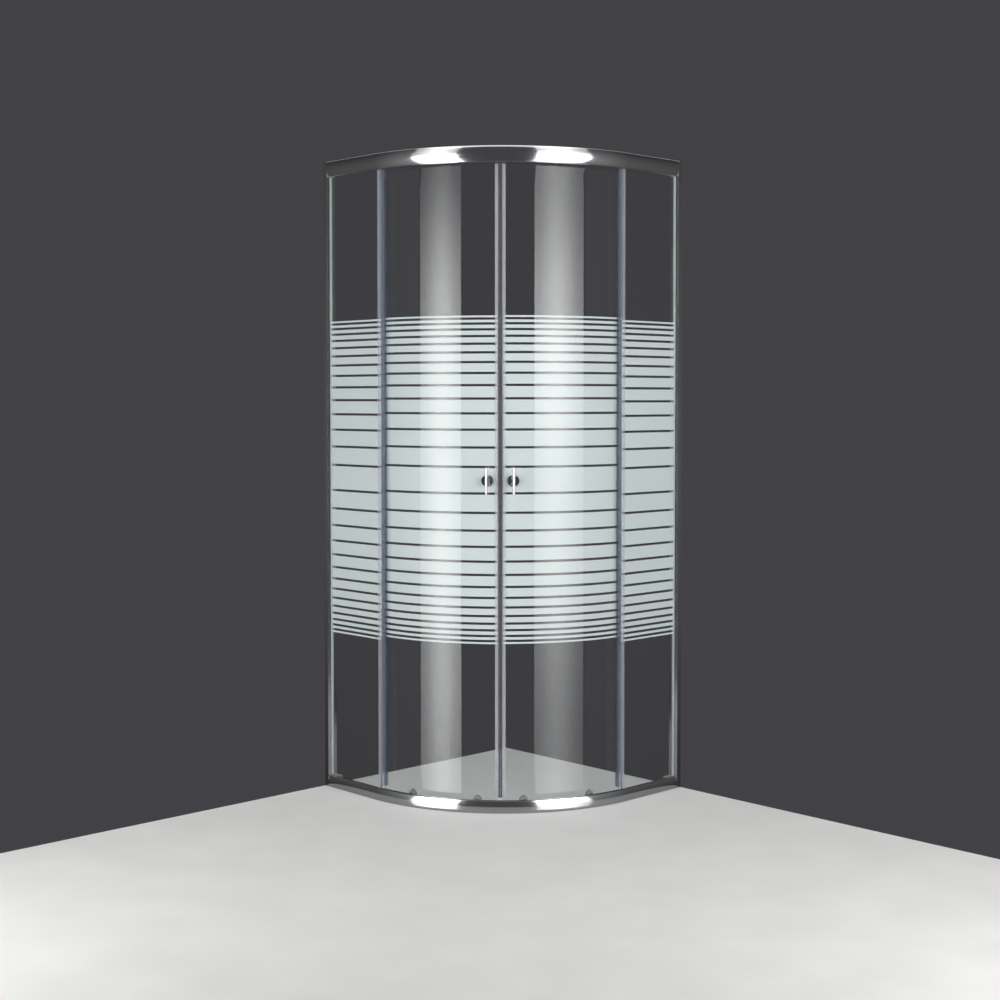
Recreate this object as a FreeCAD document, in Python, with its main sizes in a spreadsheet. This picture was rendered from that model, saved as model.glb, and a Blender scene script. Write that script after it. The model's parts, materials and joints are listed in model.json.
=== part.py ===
"""Quadrant shower door: two fixed panes and two curved sliding doors in a framed corner enclosure.

Millimetres, +Z up. The walls are the planes x = -width / 2 and y = +width / 2, the rails follow the
other two sides and the corner between them, and the origin is under the middle of the plan box.
The left half is drawn, and the right half is its mirror image in the upright diagonal plane.
"""
import FreeCAD
import Part
import Sketcher

import math
import os

SIZES = (
    # overall
    ("width", 790, "wall face to the outermost face of the rails"),
    ("height", 1950, "floor of the bottom rail to the top of the top rail"),
    ("corner_radius", 540, "outermost face of the rails round the corner"),
    # rails, depths measured inwards from their outermost face
    ("top_rail_height", 46, "front face of the top rail"),
    ("bottom_rail_height", 36, "front face of the bottom rail"),
    ("rail_wall", 1.6, "wall of the rail extrusions"),
    ("front_radius", 58, "convex front face of both rails"),
    ("top_crown", 27.5, "height of the outermost line above the top rail's lower edge"),
    ("bottom_crown", 12, "height of the outermost line above the floor"),
    ("track_width", 19.2, "clear width of the wheel track"),
    ("ledge_height", 6, "underside of the top track above the rail's lower edge"),
    ("ledge_lip", 5, "top track's lip, above the underside of the track"),
    ("roof_lip", 6, "lip that hangs from the roof of the top rail"),
    ("guide_height", 15.4, "underside of the bottom track above the floor"),
    ("guide_lip", 6.6, "bottom track's lip, above the underside of the track"),
    ("floor_lip", 5, "lip on the floor of the bottom rail"),
    ("end_gap", 0.3, "between a rail's end and the wall channel"),
    # glass
    ("glass_thickness", 5, "all panes"),
    ("pane_setback", 9.5, "outer face of the fixed panes behind the rails' outermost face"),
    ("pocket_clearance", 1.1, "beside a fixed pane in its pocket"),
    ("pane_overrun", 13, "fixed pane past the start of the corner arc"),
    ("pane_head_gap", 8, "fixed pane below the top of the top rail"),
    ("pane_lift", 4.4, "setting block under a fixed pane"),
    ("pane_edge_gap", 2.5, "fixed pane's hidden edge from the bottom of its pocket"),
    ("door_gap", 4, "rail's inner edge to the outer face of the door glass"),
    ("door_top_gap", 6, "door glass below the top of the top rail"),
    ("door_bottom_gap", 8, "door glass above the floor"),
    ("door_angle", 45.9, "middle of the corner to the trailing end of a door"),
    # wall channels and stiles
    ("channel_depth", 17, "wall channel, out from the wall"),
    ("channel_setback", 1, "wall channel behind the rails' outermost face"),
    ("channel_width", 36, "wall channel across"),
    ("channel_wall", 1.5, "wall of the channel"),
    ("wall_hole_radius", 3, "holes for the wall screws"),
    ("wall_hole_outer", 150, "outer wall holes from the ends of the channel"),
    ("wall_hole_inner", 275, "inner wall holes, above and below mid height"),
    ("stile_gap", 0.3, "between stile and wall channel"),
    ("stile_wall", 1.5, "wall of the stile"),
    ("stile_back", 3, "stile's flanges from the wall"),
    ("nose_length", 8, "stile's glass pocket, past the wall channel"),
    ("gasket_show", 5, "glazing gasket past the stile"),
    ("gasket_gap", 0.1, "between gasket, glass and stile"),
    # end blocks and frame screws
    ("block_gap", 0.3, "between an end block and the extrusions round it"),
    ("block_wall_gap", 0.5, "end block from the back of the wall channel"),
    ("plug_length", 28, "end block inside its rail"),
    ("screw_radius", 1.75, "shank of the frame screws"),
    ("screw_length", 10, "shank of the frame screws"),
    ("screw_head_radius", 3.6, "head of the frame screws"),
    ("screw_head", 2.2, "height of a frame screw's head"),
    ("screw_gap", 0.15, "round a screw in its hole"),
    ("screw_inset", 9, "frame screws from the wall"),
    ("stile_screw_step", 700, "between the stile screws of one side"),
    ("cap_radius", 5.5, "caps over the stile screws"),
    ("cap_height", 3.6, "caps over the stile screws"),
    ("cap_wall", 0.9, "wall of a cap"),
    # setting blocks and door stops
    ("setting_length", 40, "setting block along the pane"),
    ("setting_inset", 30, "setting block from the end of the pane"),
    ("setting_cheek", 1, "side of a setting block beside the glass"),
    ("setting_bite", 6, "setting block up the side of the glass"),
    ("stop_length", 12, "rubber door stop along the track"),
    ("stop_height", 10, "rubber door stop above the track"),
    ("stop_inset", 104.9, "face of a door stop from its end block"),
    ("stop_clearance", 1.5, "beside a door stop in its track"),
    # seals
    ("seal_wall", 1.2, "walls and fins of the plastic seals"),
    ("seal_gap", 0.1, "between a seal and what it holds"),
    ("seal_end_gap", 1.5, "between the rails' edges and the seals' ends"),
    ("clip_depth", 8.7, "seal over the leading edge of a door"),
    ("overlap_clip", 7, "seal over the free edge of a fixed pane"),
    ("trailing_clip", 13, "seal over the trailing edge of a door"),
    ("fin_reach", 22, "depth that the trailing fin reaches out to"),
    ("fin_gap", 1, "between the two fins with the door closed"),
    ("fin_clearance", 10, "between the fixed fin and the door glass"),
    ("seam_gap", 0.4, "magnet face to the middle of the corner"),
    ("magnet_width", 5, "magnet strip along the corner"),
    # handles
    ("handle_clearance", 5.3, "between a handle's base and the seal on the leading edge"),
    ("handle_height", 975, "handle above the floor"),
    ("handle_hole_radius", 6, "hole in the glass"),
    ("handle_base_radius", 17.5, "round base"),
    ("handle_base_depth", 9, "round base"),
    ("handle_flange", 3, "flange of the round base"),
    ("handle_step", 2.5, "step between the flange and the raised face"),
    ("handle_neck_radius", 3.8, "neck between base and bar"),
    ("handle_washer", 1, "thickness of the washers"),
    ("bar_offset", 32, "axis of the bar from the washer"),
    ("bar_length", 81, "upright bar"),
    ("bar_radius", 4.3, "bar at its middle"),
    ("bar_end_radius", 3.6, "bar at its ends"),
    ("bar_round", 1, "edge of the bar's ends"),
    ("stud_radius", 3, "stud through the glass"),
    ("stud_bite", 9, "stud inside each handle"),
    # rollers
    ("inner_roller_angle", 8, "middle of the corner to the inner rollers"),
    ("outer_roller_angle", 32.7, "middle of the corner to the outer rollers"),
    ("wheel_gap", 0.8, "wheel to the web of the rail"),
    ("wheel_width", 8, "all wheels"),
    ("wheel_chamfer", 0.6, "edges of the tread"),
    ("wheel_recess", 1.4, "hollow in the sides of a wheel"),
    ("wheel_rim", 2, "rim outside the hollow"),
    ("running_gap", 0.3, "wheel to its track and to its neighbours"),
    ("bearing_gap", 0.05, "wheel on its axle"),
    ("top_wheel_radius", 12, "wheels that carry the doors"),
    ("axle_radius", 3, "axle bolt of a top wheel"),
    ("axle_head_radius", 4.6, "head of the axle bolt"),
    ("axle_head", 1.4, "head of the axle bolt"),
    ("spacer_radius", 4.5, "spacer between glass and wheel"),
    ("spacer_flange_radius", 9, "flange of the spacer on the glass"),
    ("spacer_flange", 1.5, "flange of the spacer on the glass"),
    ("top_hole_radius", 7, "hole in the glass for a top roller"),
    ("hole_gap", 0.2, "bush or snout in its hole in the glass"),
    ("nut_radius", 10, "cap nut inside"),
    ("nut_depth", 8, "cap nut inside"),
    ("nut_chamfer", 2, "cap nut inside"),
    ("nut_bite", 5.5, "axle bolt inside the cap nut"),
    ("bottom_wheel_radius", 8, "wheels that guide the doors"),
    ("pin_radius", 2.5, "wheel pin of a release slider"),
    ("pin_head_radius", 3.8, "head of the wheel pin"),
    ("release_lift", 6, "how far a release slider lifts its wheel"),
    ("bottom_hole_radius", 8, "hole in the glass for a bottom roller"),
    ("housing_radius", 12.5, "round housing of a bottom roller"),
    ("housing_depth", 9, "round housing of a bottom roller"),
    ("housing_chamfer", 1, "edge of the housing"),
    ("ring_radius", 10.5, "ring nut outside the glass"),
    ("ring_depth", 1.8, "ring nut outside the glass"),
    ("cavity_depth", 5.3, "hollow of the housing"),
    ("slider_width", 10, "release slider"),
    ("slider_height", 8, "release slider"),
    ("slider_gap", 0.3, "between slider and housing"),
    ("neck_width", 4, "neck between slider and lifting tab"),
    ("neck_depth", 2.2, "neck and lifting tab"),
    ("tab_width", 10, "lifting tab"),
    ("tab_height", 3, "lifting tab, up to its point"),
    ("spring_room", 8.5, "from the slider to the roof of the housing's hollow"),
    ("spring_wire", 0.5, "flat wire of the return spring"),
    ("spring_legs", 4, "runs of the return spring"),
)

CLOCKWISE = (0, 0, -1)
ANTICLOCKWISE = (0, 0, 1)
DIAGONAL = FreeCAD.Vector(1, 1, 0)
QUARTER = 45


class Size:
    """A length, angle or count that keeps the sheet formula it comes from."""

    def __init__(self, value, formula):
        self.value = value
        self.formula = formula

    @staticmethod
    def of(other):
        return other if isinstance(other, Size) else Size(float(other), repr(other))

    def __add__(self, other):
        other = Size.of(other)
        return Size(self.value + other.value, f"({self.formula} + {other.formula})")

    def __sub__(self, other):
        other = Size.of(other)
        return Size(self.value - other.value, f"({self.formula} - {other.formula})")

    def __mul__(self, other):
        other = Size.of(other)
        return Size(self.value * other.value, f"({self.formula} * {other.formula})")

    def __truediv__(self, other):
        other = Size.of(other)
        return Size(self.value / other.value, f"({self.formula} / {other.formula})")

    def __radd__(self, other):
        return Size.of(other) + self

    def __rsub__(self, other):
        return Size.of(other) - self

    def __rmul__(self, other):
        return Size.of(other) * self

    def __neg__(self):
        return Size(-self.value, f"(0 - {self.formula})")


def sine(angle):
    return Size(math.sin(math.radians(angle.value)), f"sin({angle.formula} * 1 deg)")


def cosine(angle):
    return Size(math.cos(math.radians(angle.value)), f"cos({angle.formula} * 1 deg)")


def root(size):
    return Size(math.sqrt(size.value), f"sqrt({size.formula})")


def make_sheet(doc):
    """Put the driving sizes in a sheet and hand them out by name."""
    sheet = doc.addObject("Spreadsheet::Sheet", "Sizes")
    sizes = {}
    for row, (alias, value, meaning) in enumerate(SIZES, start=1):
        sheet.set(f"A{row}", meaning)
        sheet.set(f"B{row}", str(value))
        sheet.setAlias(f"B{row}", alias)
        sizes[alias] = Size(float(value), f"Sizes.{alias}")
    doc.recompute()
    return sizes


doc = FreeCAD.newDocument("quadrant_shower_door")
size = make_sheet(doc)
ZERO = Size.of(0)
nodes = []


# Sizes worked out from the driving ones

straight = size["width"] - size["corner_radius"]
half_width = size["width"] / 2
centre_x = straight - half_width
centre_y = half_width - straight

web_front = size["pane_setback"] + size["glass_thickness"] + size["pocket_clearance"]
web_back = web_front + size["rail_wall"]
lip_front = web_back + size["track_width"]
rail_depth = lip_front + size["rail_wall"]
door_front = rail_depth + size["door_gap"]
door_outer = size["corner_radius"] - door_front
door_inner = door_outer - size["glass_thickness"]
rail_start = size["channel_depth"] + size["end_gap"]
top_rail_low = size["height"] - size["top_rail_height"]
pane_back = size["pane_setback"] + size["glass_thickness"]

wheel_front = web_back + size["wheel_gap"]
wheel_far = door_front - wheel_front
wheel_near = wheel_far - size["wheel_width"]
top_track = top_rail_low + size["ledge_height"] + size["rail_wall"]
top_axle_height = top_track + size["running_gap"] + size["top_wheel_radius"]
bottom_track = size["guide_height"] + size["rail_wall"]
pin_height = bottom_track + size["running_gap"] + size["bottom_wheel_radius"]
bottom_hole_height = pin_height + size["release_lift"] / 2

seal_low = size["bottom_rail_height"] + size["seal_end_gap"]
seal_high = top_rail_low - size["seal_end_gap"]


def turn_for(length):
    """The angle, round the door glass, of a length along it."""
    return length / door_outer * 180 / Size(math.pi, "pi")


def sag(radius):
    """How far the hollow inner face of the door glass stands off a flat disc of this radius."""
    return door_inner - root(door_inner * door_inner - radius * radius)


# Drawing helpers


def bind(thing, prop, value):
    thing.setExpression(prop, Size.of(value).formula)


def place(thing, x, y, z, turn=None, axis=CLOCKWISE):
    """Set a piece down at x, y, z, turned about an upright axis."""
    x, y, z = Size.of(x), Size.of(y), Size.of(z)
    base = FreeCAD.Vector(x.value, y.value, z.value)
    angle = turn.value if turn is not None else 0
    thing.Placement = FreeCAD.Placement(base, FreeCAD.Rotation(FreeCAD.Vector(*axis), angle))
    bind(thing, "Placement.Base.x", x)
    bind(thing, "Placement.Base.y", y)
    bind(thing, "Placement.Base.z", z)
    if turn is not None:
        thing.setExpression("Placement.Rotation.Angle", f"{turn.formula} * 1 deg")


def new_body(name):
    body = doc.addObject("PartDesign::Body", name)
    body.Label = name
    return body


def new_sketch(body, role, x=ZERO, y=ZERO, lift=ZERO):
    """A sketch on one of the body's own planes, with its origin moved in that plane and lifted off it."""
    sketch = body.newObject("Sketcher::SketchObject", f"{body.Name}_outline")
    plane = next(f for f in body.Origin.OriginFeatures if f.Role == role)
    sketch.AttachmentSupport = [(plane, "")]
    sketch.MapMode = "FlatFace"
    for axis, value in (("x", x), ("y", y), ("z", lift)):
        bind(sketch, f"AttachmentOffset.Base.{axis}", value)
    return sketch


def constrain(sketch, *constraint, value):
    """Add a constraint whose value is a size."""
    value = Size.of(value)
    index = sketch.addConstraint(Sketcher.Constraint(*constraint, value.value))
    sketch.setExpression(f"Constraints[{index}]", value.formula)


def arc_between(start, end, radius):
    """Arc of less than a half turn: a positive radius has its centre on the left of the way along it."""
    chord = end - start
    side = FreeCAD.Vector(-chord.y, chord.x, 0).normalize()
    reach = math.sqrt(radius * radius - chord.Length * chord.Length / 4)
    centre = (start + end) / 2 + side * math.copysign(reach, radius)
    first, last = (start, end) if radius > 0 else (end, start)
    angles = [math.atan2(p.y - centre.y, p.x - centre.x) for p in (first, last)]
    circle = Part.Circle(centre, FreeCAD.Vector(0, 0, 1), abs(radius))
    return Part.ArcOfCircle(circle, angles[0], angles[1])


def outline(sketch, corners):
    """A closed outline. A corner is (x, y), or (x, y, radius) where the edge to the next one is an arc."""
    corners = [tuple(Size.of(c) for c in corner) for corner in corners]
    points = [FreeCAD.Vector(c[0].value, c[1].value, 0) for c in corners]
    following = points[1:] + points[:1]
    ends = []
    for corner, start, end in zip(corners, points, following):
        bend = corner[2].value if len(corner) > 2 else 0
        curve = arc_between(start, end, bend) if bend else Part.LineSegment(start, end)
        edge = sketch.addGeometry(curve, False)
        ends.append((edge, 2, 1) if bend < 0 else (edge, 1, 2))
    for here, after in zip(ends, ends[1:] + ends[:1]):
        sketch.addConstraint(Sketcher.Constraint("Coincident", here[0], here[2], after[0], after[1]))
    for corner, (edge, first, _) in zip(corners, ends):
        constrain(sketch, "DistanceX", -1, 1, edge, first, value=corner[0])
        constrain(sketch, "DistanceY", -1, 1, edge, first, value=corner[1])
        if len(corner) > 2:
            bend = corner[2] if corner[2].value > 0 else -corner[2]
            constrain(sketch, "Radius", edge, value=bend)


def rectangle(sketch, left, right, low, high):
    outline(sketch, [(left, low), (right, low), (right, high), (left, high)])


def circle(sketch, x, y, radius):
    x, y, radius = Size.of(x), Size.of(y), Size.of(radius)
    centre = FreeCAD.Vector(x.value, y.value, 0)
    edge = sketch.addGeometry(Part.Circle(centre, FreeCAD.Vector(0, 0, 1), radius.value), False)
    constrain(sketch, "DistanceX", -1, 1, edge, 3, value=x)
    constrain(sketch, "DistanceY", -1, 1, edge, 3, value=y)
    constrain(sketch, "Radius", edge, value=radius)


def feature(body, kind, sketch, length, backwards=False):
    """A Pad or a Pocket of a sketch, by a length."""
    made = body.newObject(f"PartDesign::{kind}", f"{body.Name}_{kind.lower()}")
    made.Profile = sketch
    made.Reversed = backwards
    bind(made, "Length", length)
    return made


def revolve(body, sketch, axis, angle=360, backwards=False):
    made = body.newObject("PartDesign::Revolution", f"{body.Name}_turn")
    made.Profile = sketch
    made.ReferenceAxis = (sketch, [axis])
    made.Reversed = backwards
    bind(made, "Angle", angle)
    return made


def upright(name, corners, low, high):
    """A piece of one plan section from a low level to a high one."""
    body = new_body(name)
    sketch = new_sketch(body, "XY_Plane")
    outline(sketch, corners)
    feature(body, "Pad", sketch, high - low)
    return body


def turned(name, profile):
    """A round piece: the profile holds (place along the axis, radius) corners, and the axis is local X."""
    body = new_body(name)
    sketch = new_sketch(body, "XY_Plane")
    outline(sketch, profile)
    revolve(body, sketch, "H_Axis")
    return body


def at_left_wall(thing, low=ZERO):
    """Local x runs out from the left wall, local y inwards from the rails' outermost face."""
    place(thing, -half_width, -half_width, low)


def at_centre(thing, low=ZERO):
    """Local axes at the centre of the corner arc, with local x towards its middle."""
    place(thing, centre_x, centre_y, low, turn=Size.of(QUARTER))


def on_door(thing, angle, level):
    """On the outer face of the left door, with local x outwards."""
    turn = angle + QUARTER
    x = centre_x + door_outer * cosine(turn)
    y = centre_y - door_outer * sine(turn)
    place(thing, x, y, level, turn=turn)


def polar(radius, angle, bend=None):
    """A corner at an angle to the left of the middle of the corner arc."""
    corner = (radius * cosine(angle), -(radius * sine(angle)))
    return corner if bend is None else corner + (bend,)


def mirrored(name, source):
    """The right-hand twin of a left-hand piece."""
    twin = doc.addObject("Part::Mirroring", name)
    twin.Label = name
    twin.Source = source
    twin.Normal = DIAGONAL
    return twin


def group(name, pieces):
    """Several like pieces under one name."""
    compound = doc.addObject("Part::Compound", name)
    compound.Label = name
    compound.Links = pieces
    return compound


def keep(*pieces):
    nodes.extend(pieces)


def keep_pair(base_name, left):
    """Keep a left-hand piece and its right-hand twin."""
    keep(left, mirrored(f"right_{base_name}", left))


def keep_set(name, left_pieces):
    """Keep like pieces of both hands under one name."""
    keep(group(name, left_pieces + [mirrored(f"right_{piece.Name}", piece) for piece in left_pieces]))


# Rails


def front_at(crown, level, offset):
    """Depth of the rails' convex front, or of the face a wall's offset behind it, at a level."""
    bend = size["front_radius"] - offset
    rise = level - crown
    return size["front_radius"] - root(bend * bend - rise * rise)


def top_rail_section():
    wall, high, crown = size["rail_wall"], size["top_rail_height"], size["top_crown"]
    ledge = size["ledge_height"]
    roof = high - wall
    bend = size["front_radius"]
    return [
        (front_at(crown, ZERO, ZERO), ZERO),
        (front_at(crown, ZERO, wall), ZERO, -(bend - wall)),
        (front_at(crown, roof, wall), roof),
        (web_front, roof),
        (web_front, ZERO),
        (web_back, ZERO),
        (web_back, ledge),
        (rail_depth, ledge),
        (rail_depth, ledge + size["ledge_lip"]),
        (lip_front, ledge + size["ledge_lip"]),
        (lip_front, ledge + wall),
        (web_back, ledge + wall),
        (web_back, roof),
        (lip_front, roof),
        (lip_front, high - size["roof_lip"]),
        (rail_depth, high - size["roof_lip"]),
        (rail_depth, high),
        (front_at(crown, high, ZERO), high, bend),
    ]


def bottom_rail_section():
    wall, high, crown = size["rail_wall"], size["bottom_rail_height"], size["bottom_crown"]
    guide = size["guide_height"]
    bend = size["front_radius"]
    return [
        (front_at(crown, ZERO, ZERO), ZERO),
        (rail_depth, ZERO),
        (rail_depth, size["floor_lip"]),
        (lip_front, size["floor_lip"]),
        (lip_front, wall),
        (web_back, wall),
        (web_back, guide),
        (rail_depth, guide),
        (rail_depth, guide + size["guide_lip"]),
        (lip_front, guide + size["guide_lip"]),
        (lip_front, guide + wall),
        (web_back, guide + wall),
        (web_back, high),
        (web_front, high),
        (web_front, wall),
        (front_at(crown, wall, wall), wall, -(bend - wall)),
        (front_at(crown, high, wall), high),
        (front_at(crown, high, ZERO), high, bend),
    ]


def make_rail(name, section, low):
    """A bent extrusion: a straight run from the left wall, the corner arc, and the mirrored run."""
    body = new_body(name)
    sketch = new_sketch(body, "YZ_Plane", x=-half_width, y=low, lift=straight - half_width)
    outline(sketch, section)
    reach = size["corner_radius"]
    foot = FreeCAD.Vector(reach.value, 0, 0)
    head = FreeCAD.Vector(reach.value, size["top_rail_height"].value, 0)
    axis = sketch.addGeometry(Part.LineSegment(foot, head), True)
    sketch.addConstraint(Sketcher.Constraint("Vertical", axis))
    constrain(sketch, "DistanceX", -1, 1, axis, 1, value=reach)
    constrain(sketch, "DistanceY", -1, 1, axis, 2, value=size["top_rail_height"])
    sketch.addConstraint(Sketcher.Constraint("PointOnObject", axis, 1, -1))
    run = feature(body, "Pad", sketch, straight - rail_start, backwards=True)
    revolve(body, sketch, "Axis0", angle=2 * Size.of(QUARTER))
    doc.recompute()
    diagonal = body.newObject("PartDesign::Plane", f"{name}_diagonal")
    turn = FreeCAD.Rotation(FreeCAD.Vector(0, 0, 1), DIAGONAL)
    diagonal.Placement = FreeCAD.Placement(FreeCAD.Vector(), turn)
    twin = body.newObject("PartDesign::Mirrored", f"{name}_mirror")
    twin.Originals = [run]
    twin.MirrorPlane = (diagonal, [""])
    body.Tip = twin
    return body


keep(make_rail("top_rail", top_rail_section(), top_rail_low))
keep(make_rail("bottom_rail", bottom_rail_section(), ZERO))


# Wall channels, stiles and what they hold

channel_back = size["channel_setback"] + size["channel_width"]
leg_front = channel_back - size["channel_wall"]
stile_front = size["channel_setback"] + size["channel_wall"] + size["stile_gap"]
stile_rear = leg_front - size["stile_gap"]
nose_end = size["channel_depth"] + size["nose_length"]
pane_start = size["channel_depth"] + size["pane_edge_gap"]
pane_end = straight + size["pane_overrun"]
pane_low = size["rail_wall"] + size["pane_lift"]
pane_high = size["height"] - size["pane_head_gap"]
nose_front = size["pane_setback"] - size["pocket_clearance"]
mid_height = size["height"] / 2
stile_screw_levels = [mid_height + step * size["stile_screw_step"] for step in (-1, 0, 1)]
block_screw_levels = [
    size["bottom_rail_height"] / 2,
    size["height"] - size["top_rail_height"] / 2,
]
screw_levels = stile_screw_levels + block_screw_levels
screw_hole = size["screw_radius"] + size["screw_gap"]
plug_end = rail_start + size["plug_length"]


def bore_row(body, role, places, radius, lift, depth):
    """Round holes through a wall, cut from a plane that stands on the wall's near face."""
    sketch = new_sketch(body, role, lift=lift)
    for across, level in places:
        circle(sketch, across, level, radius)
    feature(body, "Pocket", sketch, depth)


def make_wall_channel():
    deep, wall = size["channel_depth"], size["channel_wall"]
    front = size["channel_setback"]
    corners = [
        (ZERO, front),
        (deep, front),
        (deep, front + wall),
        (wall, front + wall),
        (wall, leg_front),
        (deep, leg_front),
        (deep, channel_back),
        (ZERO, channel_back),
    ]
    body = upright("left_wall_channel", corners, ZERO, size["height"])
    middle = front + size["channel_width"] / 2
    reaches = (mid_height - size["wall_hole_outer"], size["wall_hole_inner"])
    levels = [mid_height + side * reach for reach in reaches for side in (-1, 1)]
    wall_places = [(middle, level) for level in levels]
    bore_row(body, "YZ_Plane", wall_places, size["wall_hole_radius"], wall, wall)
    screw_places = [(size["screw_inset"], level) for level in screw_levels]
    bore_row(body, "XZ_Plane", screw_places, screw_hole, -leg_front, wall)
    at_left_wall(body)
    return body


def make_stile():
    """Two flanges that slide in the wall channel, a bridge, and a nose with the pane's pocket."""
    wall, back, bridge = size["stile_wall"], size["stile_back"], size["channel_depth"]
    nose_back = web_front + wall
    corners = [
        (back, stile_front),
        (bridge, stile_front),
        (bridge, nose_front - wall),
        (nose_end, nose_front - wall),
        (nose_end, nose_front),
        (bridge, nose_front),
        (bridge, web_front),
        (nose_end, web_front),
        (nose_end, nose_back),
        (bridge, nose_back),
        (bridge, stile_rear),
        (back, stile_rear),
        (back, stile_rear - wall),
        (bridge - wall, stile_rear - wall),
        (bridge - wall, stile_front + wall),
        (back, stile_front + wall),
    ]
    low = size["bottom_rail_height"]
    body = upright("left_stile", corners, low, top_rail_low)
    places = [(size["screw_inset"], level - low) for level in stile_screw_levels]
    bore_row(body, "XZ_Plane", places, screw_hole, wall - stile_rear, wall)
    at_left_wall(body, low)
    return body


def make_pane():
    front = size["pane_setback"]
    corners = [
        (pane_start, front),
        (pane_end, front),
        (pane_end, pane_back),
        (pane_start, pane_back),
    ]
    body = upright("left_fixed_pane", corners, pane_low, pane_high)
    at_left_wall(body, pane_low)
    return body


def make_gasket():
    """A U strip round the pane's hidden edge, which shows past the stile's nose."""
    gap = size["gasket_gap"]
    start, stop = size["channel_depth"] + gap, nose_end + size["gasket_show"]
    outer, inner = nose_front + gap, web_front - gap
    glass_outer, glass_inner = size["pane_setback"] - gap, pane_back + gap
    corners = [
        (start, outer),
        (stop, outer),
        (stop, glass_outer),
        (pane_start - gap, glass_outer),
        (pane_start - gap, glass_inner),
        (stop, glass_inner),
        (stop, inner),
        (start, inner),
    ]
    body = upright("left_glazing_gasket", corners, seal_low, seal_high)
    at_left_wall(body, seal_low)
    return body


keep_pair("wall_channel", make_wall_channel())
keep_pair("stile", make_stile())
keep_pair("fixed_pane", make_pane())
keep_pair("glazing_gasket", make_gasket())


# End blocks, frame screws and their caps


def make_end_block(name, low, high, plug_low, plug_high):
    """A block in the wall channel with a plug into the rail's track."""
    gap = size["block_gap"]
    body = new_body(name)
    base = new_sketch(body, "XY_Plane", lift=low + gap)
    start = size["channel_wall"] + size["block_wall_gap"]
    rectangle(base, start, size["channel_depth"], stile_front, stile_rear)
    feature(body, "Pad", base, high - low - 2 * gap)
    plug = new_sketch(body, "XY_Plane", lift=plug_low + gap)
    rectangle(plug, size["channel_depth"], plug_end, web_back + gap, lip_front - gap)
    feature(body, "Pad", plug, plug_high - plug_low - 2 * gap)
    level = (low + high) / 2
    depth = size["screw_length"] + size["screw_gap"]
    bore_row(body, "XZ_Plane", [(size["screw_inset"], level)], screw_hole, depth - channel_back, depth)
    at_left_wall(body)
    return body


def make_screw(name):
    """A pan head screw, with its head's seat at local x = 0 and its shank towards -x."""
    head, shank = size["screw_head"], size["screw_radius"]
    radius = size["screw_head_radius"]
    profile = [
        (-size["screw_length"], ZERO),
        (-size["screw_length"], shank / 2),
        (shank - size["screw_length"], shank),
        (ZERO, shank),
        (ZERO, radius),
        (head / 2, radius),
        (head, radius - head / 2),
        (head, ZERO),
    ]
    return turned(name, profile)


def make_cap(name):
    """A snap-on cap over a screw head, open towards local x = 0."""
    radius, deep, wall = size["cap_radius"], size["cap_height"], size["cap_wall"]
    profile = [
        (ZERO, radius - wall),
        (ZERO, radius),
        (deep - wall, radius),
        (deep, radius - 2 * wall),
        (deep, ZERO),
        (deep - wall, ZERO),
        (deep - wall, radius - wall - size["screw_gap"]),
    ]
    return turned(name, profile)


def on_channel_leg(thing, level):
    """On the inner leg of the left wall channel, with local x into the room."""
    turn = Size.of(2 * QUARTER)
    x = size["screw_inset"] - half_width
    place(thing, x, channel_back - half_width, level, turn=turn, axis=ANTICLOCKWISE)
    return thing


roof = size["height"] - size["rail_wall"]
bottom_high = size["bottom_rail_height"]
end_blocks = [
    make_end_block("top_end_block", top_rail_low, size["height"], top_track, roof),
    make_end_block("bottom_end_block", ZERO, bottom_high, bottom_track, bottom_high),
]
keep_pair("end_blocks", group("left_end_blocks", end_blocks))
keep_set("frame_screws", [on_channel_leg(make_screw("frame_screw"), level) for level in screw_levels])
keep_set("screw_caps", [on_channel_leg(make_cap("screw_cap"), level) for level in screw_levels])


# Setting blocks under the panes and door stops in the top track


def make_setting_block(name, start):
    """A U shoe under the pane's lower edge, on the floor of the bottom rail's pocket."""
    body = new_body(name)
    sketch = new_sketch(body, "YZ_Plane", lift=start)
    cheek, gap = size["setting_cheek"], size["seal_gap"]
    floor, top = size["rail_wall"], pane_low + size["setting_bite"]
    outer, inner = size["pane_setback"] - gap, pane_back + gap
    corners = [
        (outer - cheek, floor),
        (inner + cheek - gap, floor),
        (inner + cheek - gap, top),
        (inner, top),
        (inner, pane_low),
        (outer, pane_low),
        (outer, top),
        (outer - cheek, top),
    ]
    outline(sketch, corners)
    feature(body, "Pad", sketch, size["setting_length"])
    at_left_wall(body)
    return body


def make_door_stop():
    stop = plug_end + size["stop_inset"]
    gap = size["stop_clearance"]
    start, front, back = stop - size["stop_length"], web_back + gap, lip_front - gap
    corners = [(start, front), (stop, front), (stop, back), (start, back)]
    body = upright("door_stop", corners, top_track, top_track + size["stop_height"])
    at_left_wall(body, top_track)
    return body


block_starts = (
    pane_start + size["setting_inset"],
    pane_end - size["setting_inset"] - size["setting_length"],
)
keep_set("setting_blocks", [make_setting_block("setting_block", start) for start in block_starts])
keep_set("door_stops", [make_door_stop()])


# Seals on the glass edges

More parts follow.
